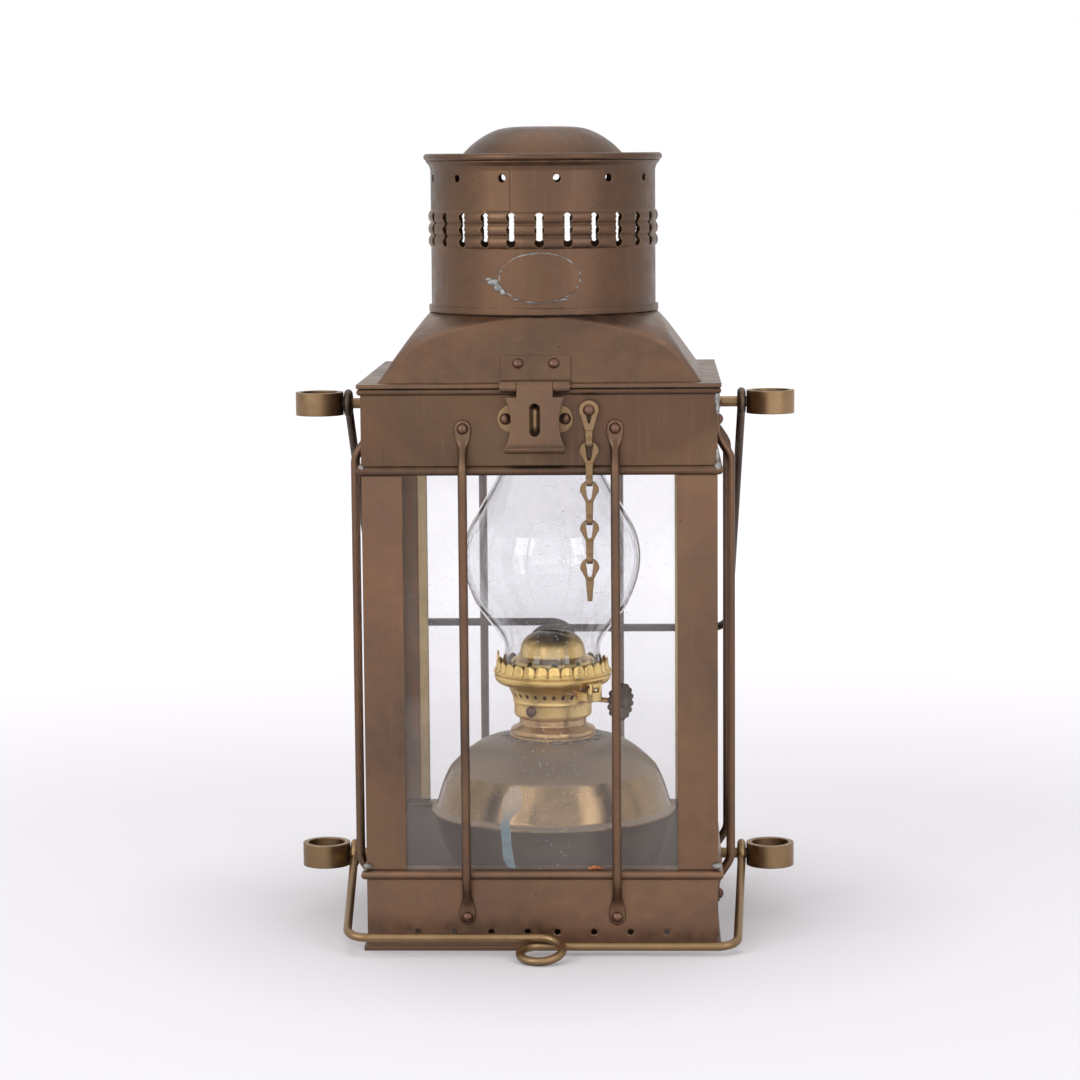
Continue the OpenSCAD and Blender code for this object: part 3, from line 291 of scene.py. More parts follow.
GLASS_IOR = 1.45
RIPPLE_SCALE = 11
RIPPLE_DEPTH = 0.0003
DUST_SCALE = 900
DUST_PATCH_SCALE = 19
DUST_THROUGH = 0.4
HAZE_STEP = (0.122, 0.115)
HAZE_SLOPE = (0.115, 0.045)


def clear_glass(name, tint, dust, film_range, blotch, gloss, rim=1.0, low_haze=0.0, axis=None):
    """Thin clear glass: mirror on top of what lies behind it, with a film of dust and specks.

    blotch is how many patches of film there are to a metre, and low_haze the share of haze on a pane's foot.
    rim is how dark the edge of a blown glass looks, and axis where its middle is across the frame.
    """
    s = Shade(name)
    s.set(Base_Color=(1, 1, 1, 1), Metallic=1.0, Roughness=0.03)
    s.bump([(s.noise(RIPPLE_SCALE, 2), RIPPLE_DEPTH)])
    around = s.add("ShaderNodeNewGeometry")
    outside = s.maths("SUBTRACT", 1.0, around.outputs["Backfacing"])
    facing = s.add("ShaderNodeLayerWeight", {"Blend": 0.5}).outputs["Facing"]
    if axis is not None:
        radius = s.vectors("MULTIPLY", s.vectors("SUBTRACT", s.place, (axis, 0, 0)), (1, 1, 0))
        away = s.vectors("DOT_PRODUCT", radius, around.outputs["Normal"], "Value")
        outer = s.maths("MULTIPLY", outside, s.maths("GREATER_THAN", away, 0.0))
        facing = s.maths("MULTIPLY", facing, outer)
    shades = [(0.0, tint), (0.55, scaled(tint, 0.75 + 0.25 * rim)), (1.0, scaled(tint, rim))]
    through = s.add("ShaderNodeBsdfTransparent", {"Color": s.ramp(s.span(facing, 0.6, 0.95), shades)})
    fresnel = s.add("ShaderNodeFresnel", {"IOR": GLASS_IOR}).outputs["Fac"]
    mirror = s.maths("MULTIPLY", s.maths("MULTIPLY", fresnel, gloss), outside)
    clear = s.layered(mirror, through.outputs["BSDF"], s.shader.outputs["BSDF"])
    film = s.span(s.noise(blotch, 6, twist=1.2), 0.4, 0.75, *film_range)
    if low_haze:
        step = s.span(s.height(), *HAZE_STEP, 0.0, 0.4 * low_haze)
        slope = s.span(s.height(), *HAZE_SLOPE, 0.0, 0.6 * low_haze)
        film = s.maths("ADD", film, s.maths("ADD", step, slope))
    specks = s.span(s.noise(DUST_SCALE, 2, shift=4), 0.65, 0.7, 0, 0.5)
    patches = s.span(s.noise(DUST_PATCH_SCALE, 3, shift=9), 0.48, 0.64)
    share = s.maths("MULTIPLY", s.maths("MAXIMUM", film, s.maths("MULTIPLY", specks, patches)), outside)
    near = s.add("ShaderNodeBsdfDiffuse", {"Color": (*dust, 1)})
    far = s.add("ShaderNodeBsdfTranslucent", {"Color": (*dust, 1)})
    powder = s.layered(DUST_THROUGH, near.outputs["BSDF"], far.outputs["BSDF"])
    s.feed(s.output.inputs["Surface"], s.layered(share, clear, powder))
    return s.material


# Dull things: how much finer grain is than clouds; a smear's patterns to a metre, its depth in metres

GRAIN_FINER = 4
SMEAR_SCALE = 260
SMEAR_GRAIN = 900
SMEAR_DEPTH = 0.0001


def smear_film(name, low, high, turn_at, cover):
    """A thin dried smear: one colour below a height, another above it, with what lies behind showing."""
    s = Shade(name)
    upper = s.span(s.height(), *turn_at)
    cloud = s.noise(SMEAR_SCALE, 5, twist=0.4)
    s.set(Base_Color=s.blend(upper, low, high), Roughness=s.spread(cloud, 0.5, 0.8),
          Alpha=s.maths("MULTIPLY", s.span(upper, 0, 1, *cover), s.span(cloud, 0.3, 0.6, 0.75, 1.0)))
    s.bump([(s.noise(SMEAR_GRAIN, 4, shift=8), SMEAR_DEPTH)])
    return s.material


def matt(name, tones, scale, rough, depth, metallic=0.0):
    """A dull surface such as solder, rust or cotton."""
    s = Shade(name)
    cloud = s.noise(scale, 5, twist=0.4)
    s.set(Base_Color=s.ramp(s.spread(cloud), tones), Roughness=s.spread(cloud, *rough), Metallic=metallic)
    s.bump([(s.noise(GRAIN_FINER * scale, 4, shift=8), depth)])
    return s.material


# Finishes: colours at positions from 0 to 1, dark to light

BODY_TONES = [(0.0, (0.1, 0.069, 0.05)), (0.35, (0.14, 0.086, 0.06)), (0.7, (0.178, 0.1, 0.064)),
              (1.0, (0.215, 0.128, 0.075))]
BODY_RUB = (0.3, 0.19, 0.095)
BODY_ROUGH = (0.34, 0.5)
# Dust on the inside of the tray, lightened as painted light where that inside lies in shade
TRAY_DUST_AND_LIGHT = (0.52, 0.45, 0.41)
CASE_DUST = (0.2, 0.14, 0.1)
# Copies of the body's brass, each lightened or darkened by its level as painted light and shade: the base,
# hood and posts lighter, the drum and band darker
LIT_AND_SHADED_SHELLS = [("body_brass", 0.95, None), ("drum_brass_painted_shade", 0.81, None), ("hood_brass_painted_light", 1.05, None),
          ("post_brass_painted_light", 1.05, CASE_DUST), ("band_brass_painted_shade", 0.74, CASE_DUST), ("base_brass_painted_light", 1.22, TRAY_DUST_AND_LIGHT)]
GOLD_TONES = [(0.0, (0.15, 0.098, 0.058)), (0.4, (0.225, 0.145, 0.08)), (0.75, (0.3, 0.194, 0.105)),
              (1.0, (0.37, 0.24, 0.13))]
BAIL_TONES = [(0.0, (0.2, 0.125, 0.068)), (0.4, (0.27, 0.172, 0.09)), (1.0, (0.36, 0.235, 0.12))]
DARK_TONES = [(0.0, (0.06, 0.045, 0.038)), (0.5, (0.1, 0.073, 0.058)), (1.0, (0.15, 0.105, 0.078))]
COPPER_TONES = [(0.0, (0.1, 0.055, 0.042)), (0.5, (0.16, 0.085, 0.062)), (1.0, (0.22, 0.12, 0.085))]
FOUNT_TONES = [(0.0, (0.19, 0.12, 0.059)), (0.5, (0.24, 0.155, 0.078)), (1.0, (0.31, 0.205, 0.104))]
BURNER_TONES = [(0.0, (0.74, 0.5, 0.18)), (0.5, (0.9, 0.64, 0.25)), (1.0, (0.96, 0.76, 0.37))]
NECK_TONES = [(0.0, (0.36, 0.22, 0.1)), (0.5, (0.52, 0.33, 0.16)), (1.0, (0.66, 0.45, 0.22))]
FOUNT_DUST = (0.27, 0.215, 0.17)
SOOT_HEIGHT = (0.1305, 0.1365)
PANE_TINT = (0.985, 0.985, 0.99)
PANE_DUST = (0.84, 0.75, 0.71)
INNER_TONES = [(0.0, (0.14, 0.084, 0.052)), (0.5, (0.26, 0.16, 0.1)), (1.0, (0.38, 0.25, 0.16))]
STRIP_TONES = [(0.0, (0.4, 0.28, 0.15)), (0.5, (0.62, 0.46, 0.25)), (1.0, (0.78, 0.6, 0.36))]

COTTON_TONES = [(0.0, (0.3, 0.26, 0.2)), (1.0, (0.62, 0.57, 0.47))]
SOLDER_TONES = [(0.0, (0.13, 0.12, 0.11)), (1.0, (0.4, 0.4, 0.4))]
RUST_TONES = [(0.0, (0.3, 0.08, 0.03)), (1.0, (0.6, 0.22, 0.08))]
PAINT_LOW = (0.2, 0.25, 0.27)
PAINT_HIGH = (0.42, 0.36, 0.31)
PAINT_TURN = (0.058, 0.068)
PAINT_COVER = (0.85, 0.5)
METALS = {
    "gold_brass": dict(tones=GOLD_TONES, rub=(0.4, 0.27, 0.13), rough=(0.34, 0.5)),
    "bail_brass": dict(tones=BAIL_TONES, rub=(0.45, 0.3, 0.15), rough=(0.34, 0.5)),
    "dark_wire": dict(tones=DARK_TONES, rub=(0.26, 0.18, 0.11), rough=(0.38, 0.55)),
    "copper_rivet": dict(tones=COPPER_TONES, rub=(0.34, 0.2, 0.13), rough=(0.36, 0.5)),
    "fount_brass": dict(tones=FOUNT_TONES, rub=(0.5, 0.36, 0.18), rough=(0.2, 0.32), dust=FOUNT_DUST),
    # The bowl: a darker copy of the fount's brass, painted shade under the fount's lip
    "bowl_brass_painted_shade": dict(tones=shaded(FOUNT_TONES, 0.88), rub=(0.4, 0.27, 0.14), rough=(0.3, 0.42),
                       dirt_and_shade_most=0.3),
    "burner_brass": dict(tones=BURNER_TONES, rub=(0.9, 0.72, 0.36), rough=(0.32, 0.44), soot=SOOT_HEIGHT,
                         dirt_and_shade_most=0.25),
    "inner_brass": dict(tones=INNER_TONES, rub=(0.42, 0.14, 0.05), rough=(0.5, 0.7), shine=0.15,
                        streak_most=0.75),
    "strip_brass": dict(tones=STRIP_TONES, rub=(0.7, 0.55, 0.33), rough=(0.45, 0.6), shine=0.25),
    "neck_brass": dict(tones=NECK_TONES, rub=(0.7, 0.48, 0.24), rough=(0.25, 0.4)),
}
GLASSES = {
    "pane_glass": dict(tint=PANE_TINT, dust=PANE_DUST, film_range=(0.0, 0.06), blotch=22, gloss=0.5),
    "front_pane": dict(tint=PANE_TINT, dust=PANE_DUST, film_range=(0.0, 0.05), blotch=22, gloss=0.35,
                       low_haze=0.17),
    "back_pane": dict(tint=PANE_TINT, dust=(0.9, 0.9, 0.95), film_range=(0.16, 0.26), blotch=22, gloss=0.35),
    "lamp_glass": dict(tint=(0.987, 0.986, 0.991), dust=(0.8, 0.79, 0.8), film_range=(0.0, 0.02), blotch=40,
                       gloss=1.8, rim=0.3, axis=LAMP_X * MM),
}
DULL = {
    "wick_cotton": dict(tones=COTTON_TONES, scale=900, rough=(0.85, 1.0), depth=0.0003),
    "solder": dict(tones=SOLDER_TONES, scale=420, rough=(0.4, 0.65), depth=0.0002, metallic=0.7),
    "rust_crumb": dict(tones=RUST_TONES, scale=900, rough=(0.7, 0.9), depth=0.0002),
}
materials = {"blue_paint": smear_film("blue_paint", PAINT_LOW, PAINT_HIGH, PAINT_TURN, PAINT_COVER)}
for name, made in METALS.items():
    materials[name] = worn_metal(name, **made)
# Painted light and shade: each shell's level lightens or darkens the body's tones
for name, level, inside in LIT_AND_SHADED_SHELLS:
    materials[name] = worn_metal(name, shaded(BODY_TONES, level), BODY_RUB, BODY_ROUGH, inside=inside)
for name, made in GLASSES.items():
    materials[name] = clear_glass(name, **made)
for name, made in DULL.items():
    materials[name] = matt(name, **made)

# Finish of each node but the rivets, by the first of these words that its name starts with

FINISHES = [
    ("pane_front", "front_pane"), ("pane_back", "back_pane"), ("pane_", "pane_glass"),
    ("top_band", "band_brass_painted_shade"), ("chimney_drum", "drum_brass_painted_shade"), ("oval_plate", "drum_brass_painted_shade"),
    ("cap_dome", "drum_brass_painted_shade"), ("base_tray", "base_brass_painted_light"), ("corner_post", "post_brass_painted_light"),
    ("lamp_glass", "lamp_glass"), ("wick_shaft", "burner_brass"), ("wick_knob", "dark_wire"),
    ("wick_tube", "burner_brass"), ("wick", "wick_cotton"), ("fount_bowl", "bowl_brass_painted_shade"),
    ("fount", "fount_brass"), ("burner", "burner_brass"), ("gallery_pin", "dark_wire"),
    ("flame", "burner_brass"), ("screw_collar", "neck_brass"), ("upper_bail", "dark_wire"),
    ("lower_bail", "bail_brass"), ("guide_eye", "gold_brass"), ("chain_link", "gold_brass"),
    ("staple", "gold_brass"), ("hasp", "hood_brass_painted_light"), ("", "body_brass"),
]


def finish_of(node):
    if "rivet" in node:
        return "copper_rivet"
    return next(finish for word, finish in FINISHES if node.startswith(word))


for name, obj in nodes.items():
    obj.data.materials.clear()
    obj.data.materials.append(materials[finish_of(name)])

# Making pieces, with a hair's breadth in millimetres that keeps points apart

HAIR = 0.01


def curve(points, steps):
    """A smooth curve through the points, with so many steps between neighbours."""
    out = []
    last = len(points) - 1
    for i in range(last):
        a, b, c, d = (Vector(points[min(max(k, 0), last)]) for k in (i - 1, i, i + 1, i + 2))
        for k in range(steps):
            t = k / steps
            out.append(0.5 * (2 * b + (c - a) * t + (2 * a - 5 * b + 4 * c - d) * t * t
                              + (3 * b - a - 3 * c + d) * t * t * t))
    out.append(Vector(points[last]))
    return out


def loft(rings, caps=True, round_trip=False):
    """A skin over rings of equal length, with capped ends, or with the last ring joined to the first."""
    count = len(rings[0])
    verts = [tuple(p) for ring in rings for p in ring]
    faces = []
    pairs = [(i, i + 1) for i in range(len(rings) - 1)]
    if round_trip:
        pairs.append((len(rings) - 1, 0))
    for low, high in pairs:
        for k in range(count):
            n = (k + 1) % count
            faces.append((low * count + k, low * count + n, high * count + n, high * count + k))
    if caps and not round_trip:
        faces.append(tuple(reversed(range(count))))
        faces.append(tuple(range(len(verts) - count, len(verts))))
    return verts, faces


def merged(*shapes):
    """Several shapes as one."""
    verts, faces = [], []
    for more, sides in shapes:
        start = len(verts)
        verts += more
        faces += [tuple(start + k for k in side) for side in sides]
    return verts, faces


def moved(shape, change):
    """A shape with every point put through a function."""
    verts, faces = shape
    return [tuple(change(Vector(v))) for v in verts], faces


def lathe(profile, turns, round_trip=False):
    """An outline of (radius, height) turned about the vertical axis."""
    rings = []
    for radius, height in profile:
        angles = [2 * math.pi * k / turns for k in range(turns)]
        rings.append([(radius * math.cos(a), radius * math.sin(a), height) for a in angles])
    return loft(rings, caps=False, round_trip=round_trip)


def tube(path, sections, normal, round_trip=False):
    """A skin along a path; each section is a list of (across, along the normal) points."""
    rings = []
    last = len(path) - 1
    for i, at in enumerate(path):
        if round_trip:
            heading = path[(i + 1) % (last + 1)] - path[i - 1]
        else:
            heading = path[min(i + 1, last)] - path[max(i - 1, 0)]
        heading = heading.normalized()
        across = heading.cross(normal).normalized()
        out = across.cross(heading)
        rings.append([at + u * across + v * out for u, v in sections[i]])
    return loft(rings, round_trip=round_trip)


def oval(a, b, count=16, power=1.0):
    """Points of an ellipse, or of a rounder rectangle for a power below 1."""
    points = []
    for k in range(count):
        c, s = math.cos(2 * math.pi * k / count), math.sin(2 * math.pi * k / count)
        points.append((a * math.copysign(abs(c) ** power, c), b * math.copysign(abs(s) ** power, s)))
    return points


def spoke(near, far, z, section):
    """A straight pin along the radius, at a height."""
    return tube([Vector((near, 0, z)), Vector((far, 0, z))], [section] * 2, Vector((0, 0, 1)))


def block(low, high):
    """A box from corner to corner."""
    (x0, y0, z0), (x1, y1, z1) = low, high
    return loft([[(x0, y0, z), (x1, y0, z), (x1, y1, z), (x0, y1, z)] for z in (z0, z1)])


def ball(centre, size, rows=8, turns=14, rough=0.0):
    """A lump with half-axes size, uneven by a share rough."""
    rings = []
    for i in range(rows + 1):
        tip = math.pi * i / rows
        ring = []
        for k in range(turns):
            turn = 2 * math.pi * k / turns
            swell = 1 + rough * (chance.random() - 0.5) if 0 < i < rows else 1
            ring.append((centre[0] + swell * size[0] * math.sin(tip) * math.cos(turn),
                         centre[1] + swell * size[1] * math.sin(tip) * math.sin(turn),
                         centre[2] - size[2] * math.cos(tip)))
        rings.append(ring)
    return loft(rings, caps=False)


def piece(name, body, finish, shape, stands_for=(), thick=0.0, bevel=0.0, crease=38):
    """A piece from a shape in millimetres, which rides on a body."""
    verts, faces = shape
    mesh = bpy.data.meshes.new(name)
    mesh.from_pydata([tuple(c * MM for c in v) for v in verts], [], faces)
    work = bmesh.new()
    work.from_mesh(mesh)
    bmesh.ops.remove_doubles(work, verts=work.verts, dist=1e-6)
    bmesh.ops.recalc_face_normals(work, faces=work.faces)
    work.to_mesh(mesh)
    work.free()
    mesh.materials.append(materials[finish])
    mesh.shade_smooth()
    mesh.set_sharp_from_angle(angle=math.radians(crease))
    obj = bpy.data.objects.new(name, mesh)
    scene.collection.objects.link(obj)
    if thick:
        shell = obj.modifiers.new("shell", "SOLIDIFY")
        shell.thickness = thick * MM
        shell.offset = 0
    if bevel:
        soft = obj.modifiers.new("soft", "BEVEL")
        soft.width = bevel * MM
        soft.segments = 2
        soft.limit_method = "ANGLE"
        soft.angle_limit = math.radians(crease)
    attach(obj, body)
    if stands_for:
        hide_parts(*stands_for)
    return obj


def cut(obj, shape):
    """Cuts a shape out of a piece."""
    verts, faces = shape
    mesh = bpy.data.meshes.new("tool")
    mesh.from_pydata([tuple(c * MM for c in v) for v in verts], [], faces)
    work = bmesh.new()
    work.from_mesh(mesh)
    bmesh.ops.recalc_face_normals(work, faces=work.faces)
    work.to_mesh(mesh)
    work.free()
    tool = bpy.data.objects.new("tool", mesh)
    scene.collection.objects.link(tool)
    saw = obj.modifiers.new("saw", "BOOLEAN")
    saw.operation = "DIFFERENCE"
    saw.solver = "EXACT"
    saw.object = tool
    bpy.context.view_layer.update()
    seen = obj.evaluated_get(bpy.context.evaluated_depsgraph_get())
    result = bpy.data.meshes.new_from_object(seen)
    obj.modifiers.remove(saw)
    obj.data = result
    bpy.data.objects.remove(tool)


# Hood: flat sides that run into the round drum

HOOD_LAP = 0.4


def square_ring(half, radius, z, steps=14):
    """A square outline with round corners, at a height."""
    ring = []
    out = (half - radius) * math.sqrt(2)
    for quarter in range(4):
        mid = math.radians(90 * quarter + 45)
        for k in range(steps + 1):
            a = math.radians(90 * quarter + 90 * k / steps)
            x = out * math.cos(mid) + radius * math.cos(a)
            y = out * math.sin(mid) + radius * math.sin(a)
            ring.append((x, y, z))
    return ring


def hood_rings(inset, steps=16):
    """Outlines from the flange up to the drum, from square to round."""
    rings = []
    top = DRUM_R + HOOD_LAP
    for i in range(steps + 1):
        t = i / steps
        half = HOOD_HALF + (top - HOOD_HALF) * t - inset
        radius = HOOD_ROUND + (half - HOOD_ROUND) * t ** HOOD_FULL
        z = FLANGE_TOP + (DRUM_Z - FLANGE_TOP) * t
        rings.append(square_ring(half, min(radius, half - HAIR), z))
    return rings


hood = loft(hood_rings(0) + hood_rings(SHEET)[::-1], round_trip=True)
piece("hood_sheet", "lid", "hood_brass_painted_light", hood, stands_for=["roof_hood"], crease=50)

# Bails

WIRE_R = 2.0
BAIL_X = HALF + 13.1
BAIL_LEAN = 4
BAIL_EYE_R = 4.8
BAIL_EYE_STEPS = 32
BAIL_CORNER = 9
BAIL_LOOP = 9.75
LOOP_STEP = 2.2
LOOP_GAP = 4
LEG_STEPS = (0, 0.25, 0.5, 0.75, 0.94)


def bail_half(side, length, rise):
    """One leg with its corner, and the span as far as the loop."""
    x1 = BAIL_X - BAIL_LEAN
    fall = BAIL_CORNER - length + BAIL_EYE_R
    leg = [Vector((side * (BAIL_X + (x1 - BAIL_X) * t), rise * t, -BAIL_EYE_R + fall * t)) for t in LEG_STEPS]
    bend = [math.radians(a) for a in range(6, 90, 6)]
    turn = [Vector((side * (x1 - BAIL_CORNER * (1 - math.cos(a))), rise,
                    -length + BAIL_CORNER * (1 - math.sin(a)))) for a in bend]
    stops = (x1 - BAIL_CORNER, (x1 + BAIL_LOOP) / 2, BAIL_LOOP + LOOP_GAP)
    return leg + turn + [Vector((side * x, rise, -length)) for x in stops]


def bail(length, rise, height, turn):
    """A bail of round wire with an eye at each end and a loop in the middle."""
    wire = oval(WIRE_R, WIRE_R)
    loop = []
    for k in range(0, 361, 8):
        a = math.radians(k)
        x = -BAIL_LOOP * math.sin(a)
        z = -length - BAIL_LOOP * (1 - math.cos(a))
        loop.append(Vector((x, rise * (1 - k / 180), z)))
    path = bail_half(1, length, rise) + loop + bail_half(-1, length, -rise)[::-1]
    shapes = [tube(path, [wire] * len(path), Vector((0, 1, 0)))]
    for side in (-1, 1):
        ring = [Vector((side * BAIL_X, BAIL_EYE_R * math.sin(a), BAIL_EYE_R * math.cos(a)))
                for a in (2 * math.pi * k / BAIL_EYE_STEPS for k in range(BAIL_EYE_STEPS))]
        shapes.append(tube(ring, [wire] * BAIL_EYE_STEPS, Vector((1, 0, 0)), round_trip=True))
    spin = Matrix.Rotation(turn, 3, "X")
    return moved(merged(*shapes), lambda v: spin @ v + Vector((0, 0, height)))


UP_EYE_Z = 249
UP_LENGTH = 155
UP_REACH = 95.1
UP_TURN = math.asin(UP_REACH / UP_LENGTH)
LOW_EYE_Z = 28
LOW_REST_Z = 6.6
LOW_RUN = HALF + 11.1
LOW_DROP = LOW_EYE_Z - LOW_REST_Z
LOW_TURN = math.atan(LOW_DROP / LOW_RUN) - math.pi / 2
piece("upper_bail_wire", "upper_bail", "dark_wire", bail(UP_LENGTH, -LOOP_STEP, UP_EYE_Z, UP_TURN),
      stands_for=["upper_bail"])
piece("lower_bail_wire", "lower_bail", "bail_brass",
      bail(math.hypot(LOW_RUN, LOW_DROP), LOOP_STEP, LOW_EYE_Z, LOW_TURN),
      stands_for=["lower_bail"])

# Guard rods: round wire, beaten flat where it is riveted

ROD_TOP = 243.5
ROD_LOW = 16
ROD_X = 34.8
ROD_R = 2.1
ROD_OUT = 7
FLAT_UNDER = 1.2
FLAT_POWER = 0.75

# Rows from a rivet inwards: height from the rivet, distance from the side, half width, half thickness

ROD_HALF = [(3.9, 0.95, 0.5, 0.6), (3.6, 0.95, 1.7, 0.75), (2.8, 0.95, 2.8, 0.8), (1.5, 0.95, 3.55, 0.8),
            (0, 0.95, 3.85, 0.8), (-2.6, 0.95, 3.8, 0.8), (-4.8, 0.95, 3.35, 0.85), (-6.6, 1.15, 2.8, 1.1),
            (-8.4, 1.7, 2.35, 1.6), (-10.2, 2.5, 2.12, 2.0), (-12.6, 4.0, ROD_R, ROD_R),
            (-15, 5.6, ROD_R, ROD_R), (-17, 6.6, ROD_R, ROD_R), (-19.5, ROD_OUT, ROD_R, ROD_R),
            (-24, ROD_OUT, ROD_R, ROD_R)]
SIDES = {"front": 0, "right": 90, "back": 180, "left": 270}


def turned(turn, v):
    """A point turned about the vertical axis of the frame, in degrees."""
    return Matrix.Rotation(math.radians(turn), 3, "Z") @ v


def guard_rod(along):
    """A rod of the front side, so far across it."""
    rows = [(ROD_TOP + z, out, a, b) for z, out, a, b in ROD_HALF]
    rows.append(((ROD_TOP + ROD_LOW) / 2, ROD_OUT, ROD_R, ROD_R))
    rows += [(ROD_LOW - z, out, a, b) for z, out, a, b in reversed(ROD_HALF)]
    path = [Vector((along, -HALF - out, z)) for z, out, a, b in rows]
    sections = [oval(a, b, 16, FLAT_POWER if b < FLAT_UNDER else 1.0) for z, out, a, b in rows]
    return tube(path, sections, Vector((0, 1, 0)))


for side, turn in SIDES.items():
    pair = merged(guard_rod(-ROD_X), guard_rod(ROD_X))
    piece("guard_wires_" + side, "lantern", "body_brass", moved(pair, lambda v: turned(turn, v)),
          stands_for=["guard_rods_" + side])

# Chain of stamped links

CHAIN_X = 23
LINK_Y = -85.5
RIVET_Z = 252
FIRST_STEP = 14.8
LINK_STEP = 17.8
LINK_T = 1.1
LINK_N = 5
FIRST_HEAD_R = 4.5
HEAD_R = 4.4
HEAD_MID = -3.9
NECK_Z = -9.2
NECK_HALF = 1.9
TAIL_Z = -8.7
TAIL_HALF_T = 0.5


def link_ring(outside, hole):
    """A flat plate between two outlines of (across, height), both from the top down on one side."""
    def both(points):
        return [(x, z) for x, z in points] + [(-x, z) for x, z in reversed(points)]

    loops = [[(x, y, z) for x, z in both(points)] for points, y in
             ((outside, -LINK_T / 2), (outside, LINK_T / 2), (hole, LINK_T / 2), (hole, -LINK_T / 2))]
    return loft(loops, round_trip=True)


def head_side(radius, centre, low, half):
    """The right edge of a drop-shaped plate: a round head that runs down to a narrow tail."""
    points = [(radius * math.sin(math.radians(a)), centre + radius * math.cos(math.radians(a)))
              for a in (6, 22, 38, 54, 70, 86, 100)]
    x, z = points[-1]
    return points + [(x + (half - x) * (t ** 0.85), z + (low - z) * t) for t in (0.25, 0.5, 0.75, 1)]


def tail(rows):
    """A strip from rows of (forward, height, half width)."""
    path = curve([Vector((0, -out, z)) for out, z, half in rows], 3)
    halves = curve([Vector((half, 0, 0)) for out, z, half in rows], 3)
    return tube(path, [oval(h.x, TAIL_HALF_T, 12, 0.5) for h in halves], Vector((0, 1, 0)))


def hook(step):
    """Tail of a link that folds round the top of the next one."""
    return [(0, TAIL_Z, NECK_HALF), (0, 3.6 - step, 1.65), (0.5, 2.2 - step, 1.6), (1.35, 0.8 - step, 1.55),
            (1.45, -0.5 - step, 1.5), (0.6, -1.6 - step, 1.5), (-0.6, -1.6 - step, 1.5),
            (-1.4, -0.4 - step, 1.5), (-1.3, 0.8 - step, 1.4)]


DROP_HOLE = [(0.4, -0.55), (1.0, -0.55), (1.5, -0.6), (1.72, -0.85), (1.7, -1.6), (1.55, -3), (1.35, -4.6),
             (1.15, -6.2), (0.95, -7.4), (0.6, -8.1), (0.2, -8.3)]
RIVET_HOLE = [(0.2, -2.4), (0.5, -2.4), (0.9, -2.45), (1.15, -2.7), (1.1, -3.2), (1.0, -3.9), (0.85, -4.6),
              (0.7, -5.2), (0.5, -5.7), (0.3, -6), (0.1, -6.1)]
LAST_TAIL = [(0, TAIL_Z, NECK_HALF), (0, -12, 1.7), (0.1, -15, 1.4), (0.1, -LINK_STEP - 1.6, 1.15)]
first_plate = link_ring(head_side(FIRST_HEAD_R, 0, NECK_Z, NECK_HALF), RIVET_HOLE)
next_plate = link_ring(head_side(HEAD_R, HEAD_MID, NECK_Z, NECK_HALF), DROP_HOLE)
links = [merged(first_plate, tail(hook(FIRST_STEP)))]
links += [merged(next_plate, tail(hook(LINK_STEP)))] * (LINK_N - 2)
links.append(merged(next_plate, tail(LAST_TAIL)))
for i, link in enumerate(links):
    z = RIVET_Z if i == 0 else RIVET_Z - FIRST_STEP - (i - 1) * LINK_STEP
    piece(f"link_plate_{i + 1}", f"link_{i + 1}", "gold_brass",
          moved(link, lambda v: v + Vector((CHAIN_X, LINK_Y, z))), stands_for=[f"chain_link_{i + 1}"],
          bevel=0.12)

# Burner


def on_lamp(turn, v):
    """A point by its height above the crown of the fount, turned about the axis of the lamp."""
    return turned(turn, v) + Vector((LAMP_X, 0, CROWN_Z))


def lamp_shell(profile, turns):
    """A closed outline of (radius, height) turned about the axis of the lamp."""
    return moved(lathe(profile, turns, round_trip=True), lambda v: on_lamp(0, v))


SKIN = 1.0
BURNER_SIDE = [(15.6, 1.5), (15.6, 8.5), (15.9, 9.3), (17.4, 9.6), (18.5, 10.3), (18.9, 11.5), (18.9, 16.2),
               (19.2, 16.8), (19.5, 17.4), (19.3, 18.1), (19.5, 19), (20.2, 21), (21.2, 23.1),
               (22.1, 24.8), (23.2, 25.6), (23.6, 26.3), (23.6, 30.7)]
burner = lamp_shell(BURNER_SIDE + [(r - SKIN, z) for r, z in reversed(BURNER_SIDE)], 112)
body = piece("burner_shell", "lantern", "burner_brass", burner, stands_for=["burner_body"], crease=42)
VENT_N = 28
VENT_Z = 21.2
VENT_HALF = (0.95, 1.25)
VENT_REACH = (17, 24)
VENT_TURN = 3
vent = spoke(*VENT_REACH, VENT_Z, oval(*VENT_HALF, 10))
vents = [moved(vent, lambda v: on_lamp(360 * i / VENT_N + VENT_TURN, v)) for i in range(VENT_N)]
cut(body, merged(*vents))

# Arm with two lugs that carry the hinge of the gallery

TILT_TURN = -47
TILT_R = 30.2
TILT_Z = 27.5
ARM_IN = 21
ARM_LOW = 20
ARM_TOP = 24.6
ARM_HALF = 3.7
LUG_IN = 29.2
LUG_OUT = 31.6
LUG_LOW = 20.1
LUG_TOP = 29
LUG_HALF_GAP = 2.4
arm = merged(block((ARM_IN, -ARM_HALF, ARM_LOW), (LUG_OUT, ARM_HALF, ARM_TOP)),
             block((LUG_IN, -ARM_HALF, LUG_LOW), (LUG_OUT, -LUG_HALF_GAP, LUG_TOP)),
             block((LUG_IN, LUG_HALF_GAP, LUG_LOW), (LUG_OUT, ARM_HALF, LUG_TOP)))
piece("burner_arm", "lantern", "burner_brass", moved(arm, lambda v: on_lamp(TILT_TURN, v)), bevel=0.4)
STUB_SIDE = [(0, 0), (2.7, 0), (2.7, 0.9), (2.2, 1.5), (1.2, 1.8), (0, 1.9)]
STUB_TURN = -122
STUB_R = 18.6
STUB_Z = 14
stub = moved(lathe(STUB_SIDE, 20), lambda v: on_lamp(STUB_TURN, Vector((STUB_R + v.z, v.x, STUB_Z + v.y))))
piece("burner_stub", "lantern", "copper_rivet", stub)

# Gallery with its petals

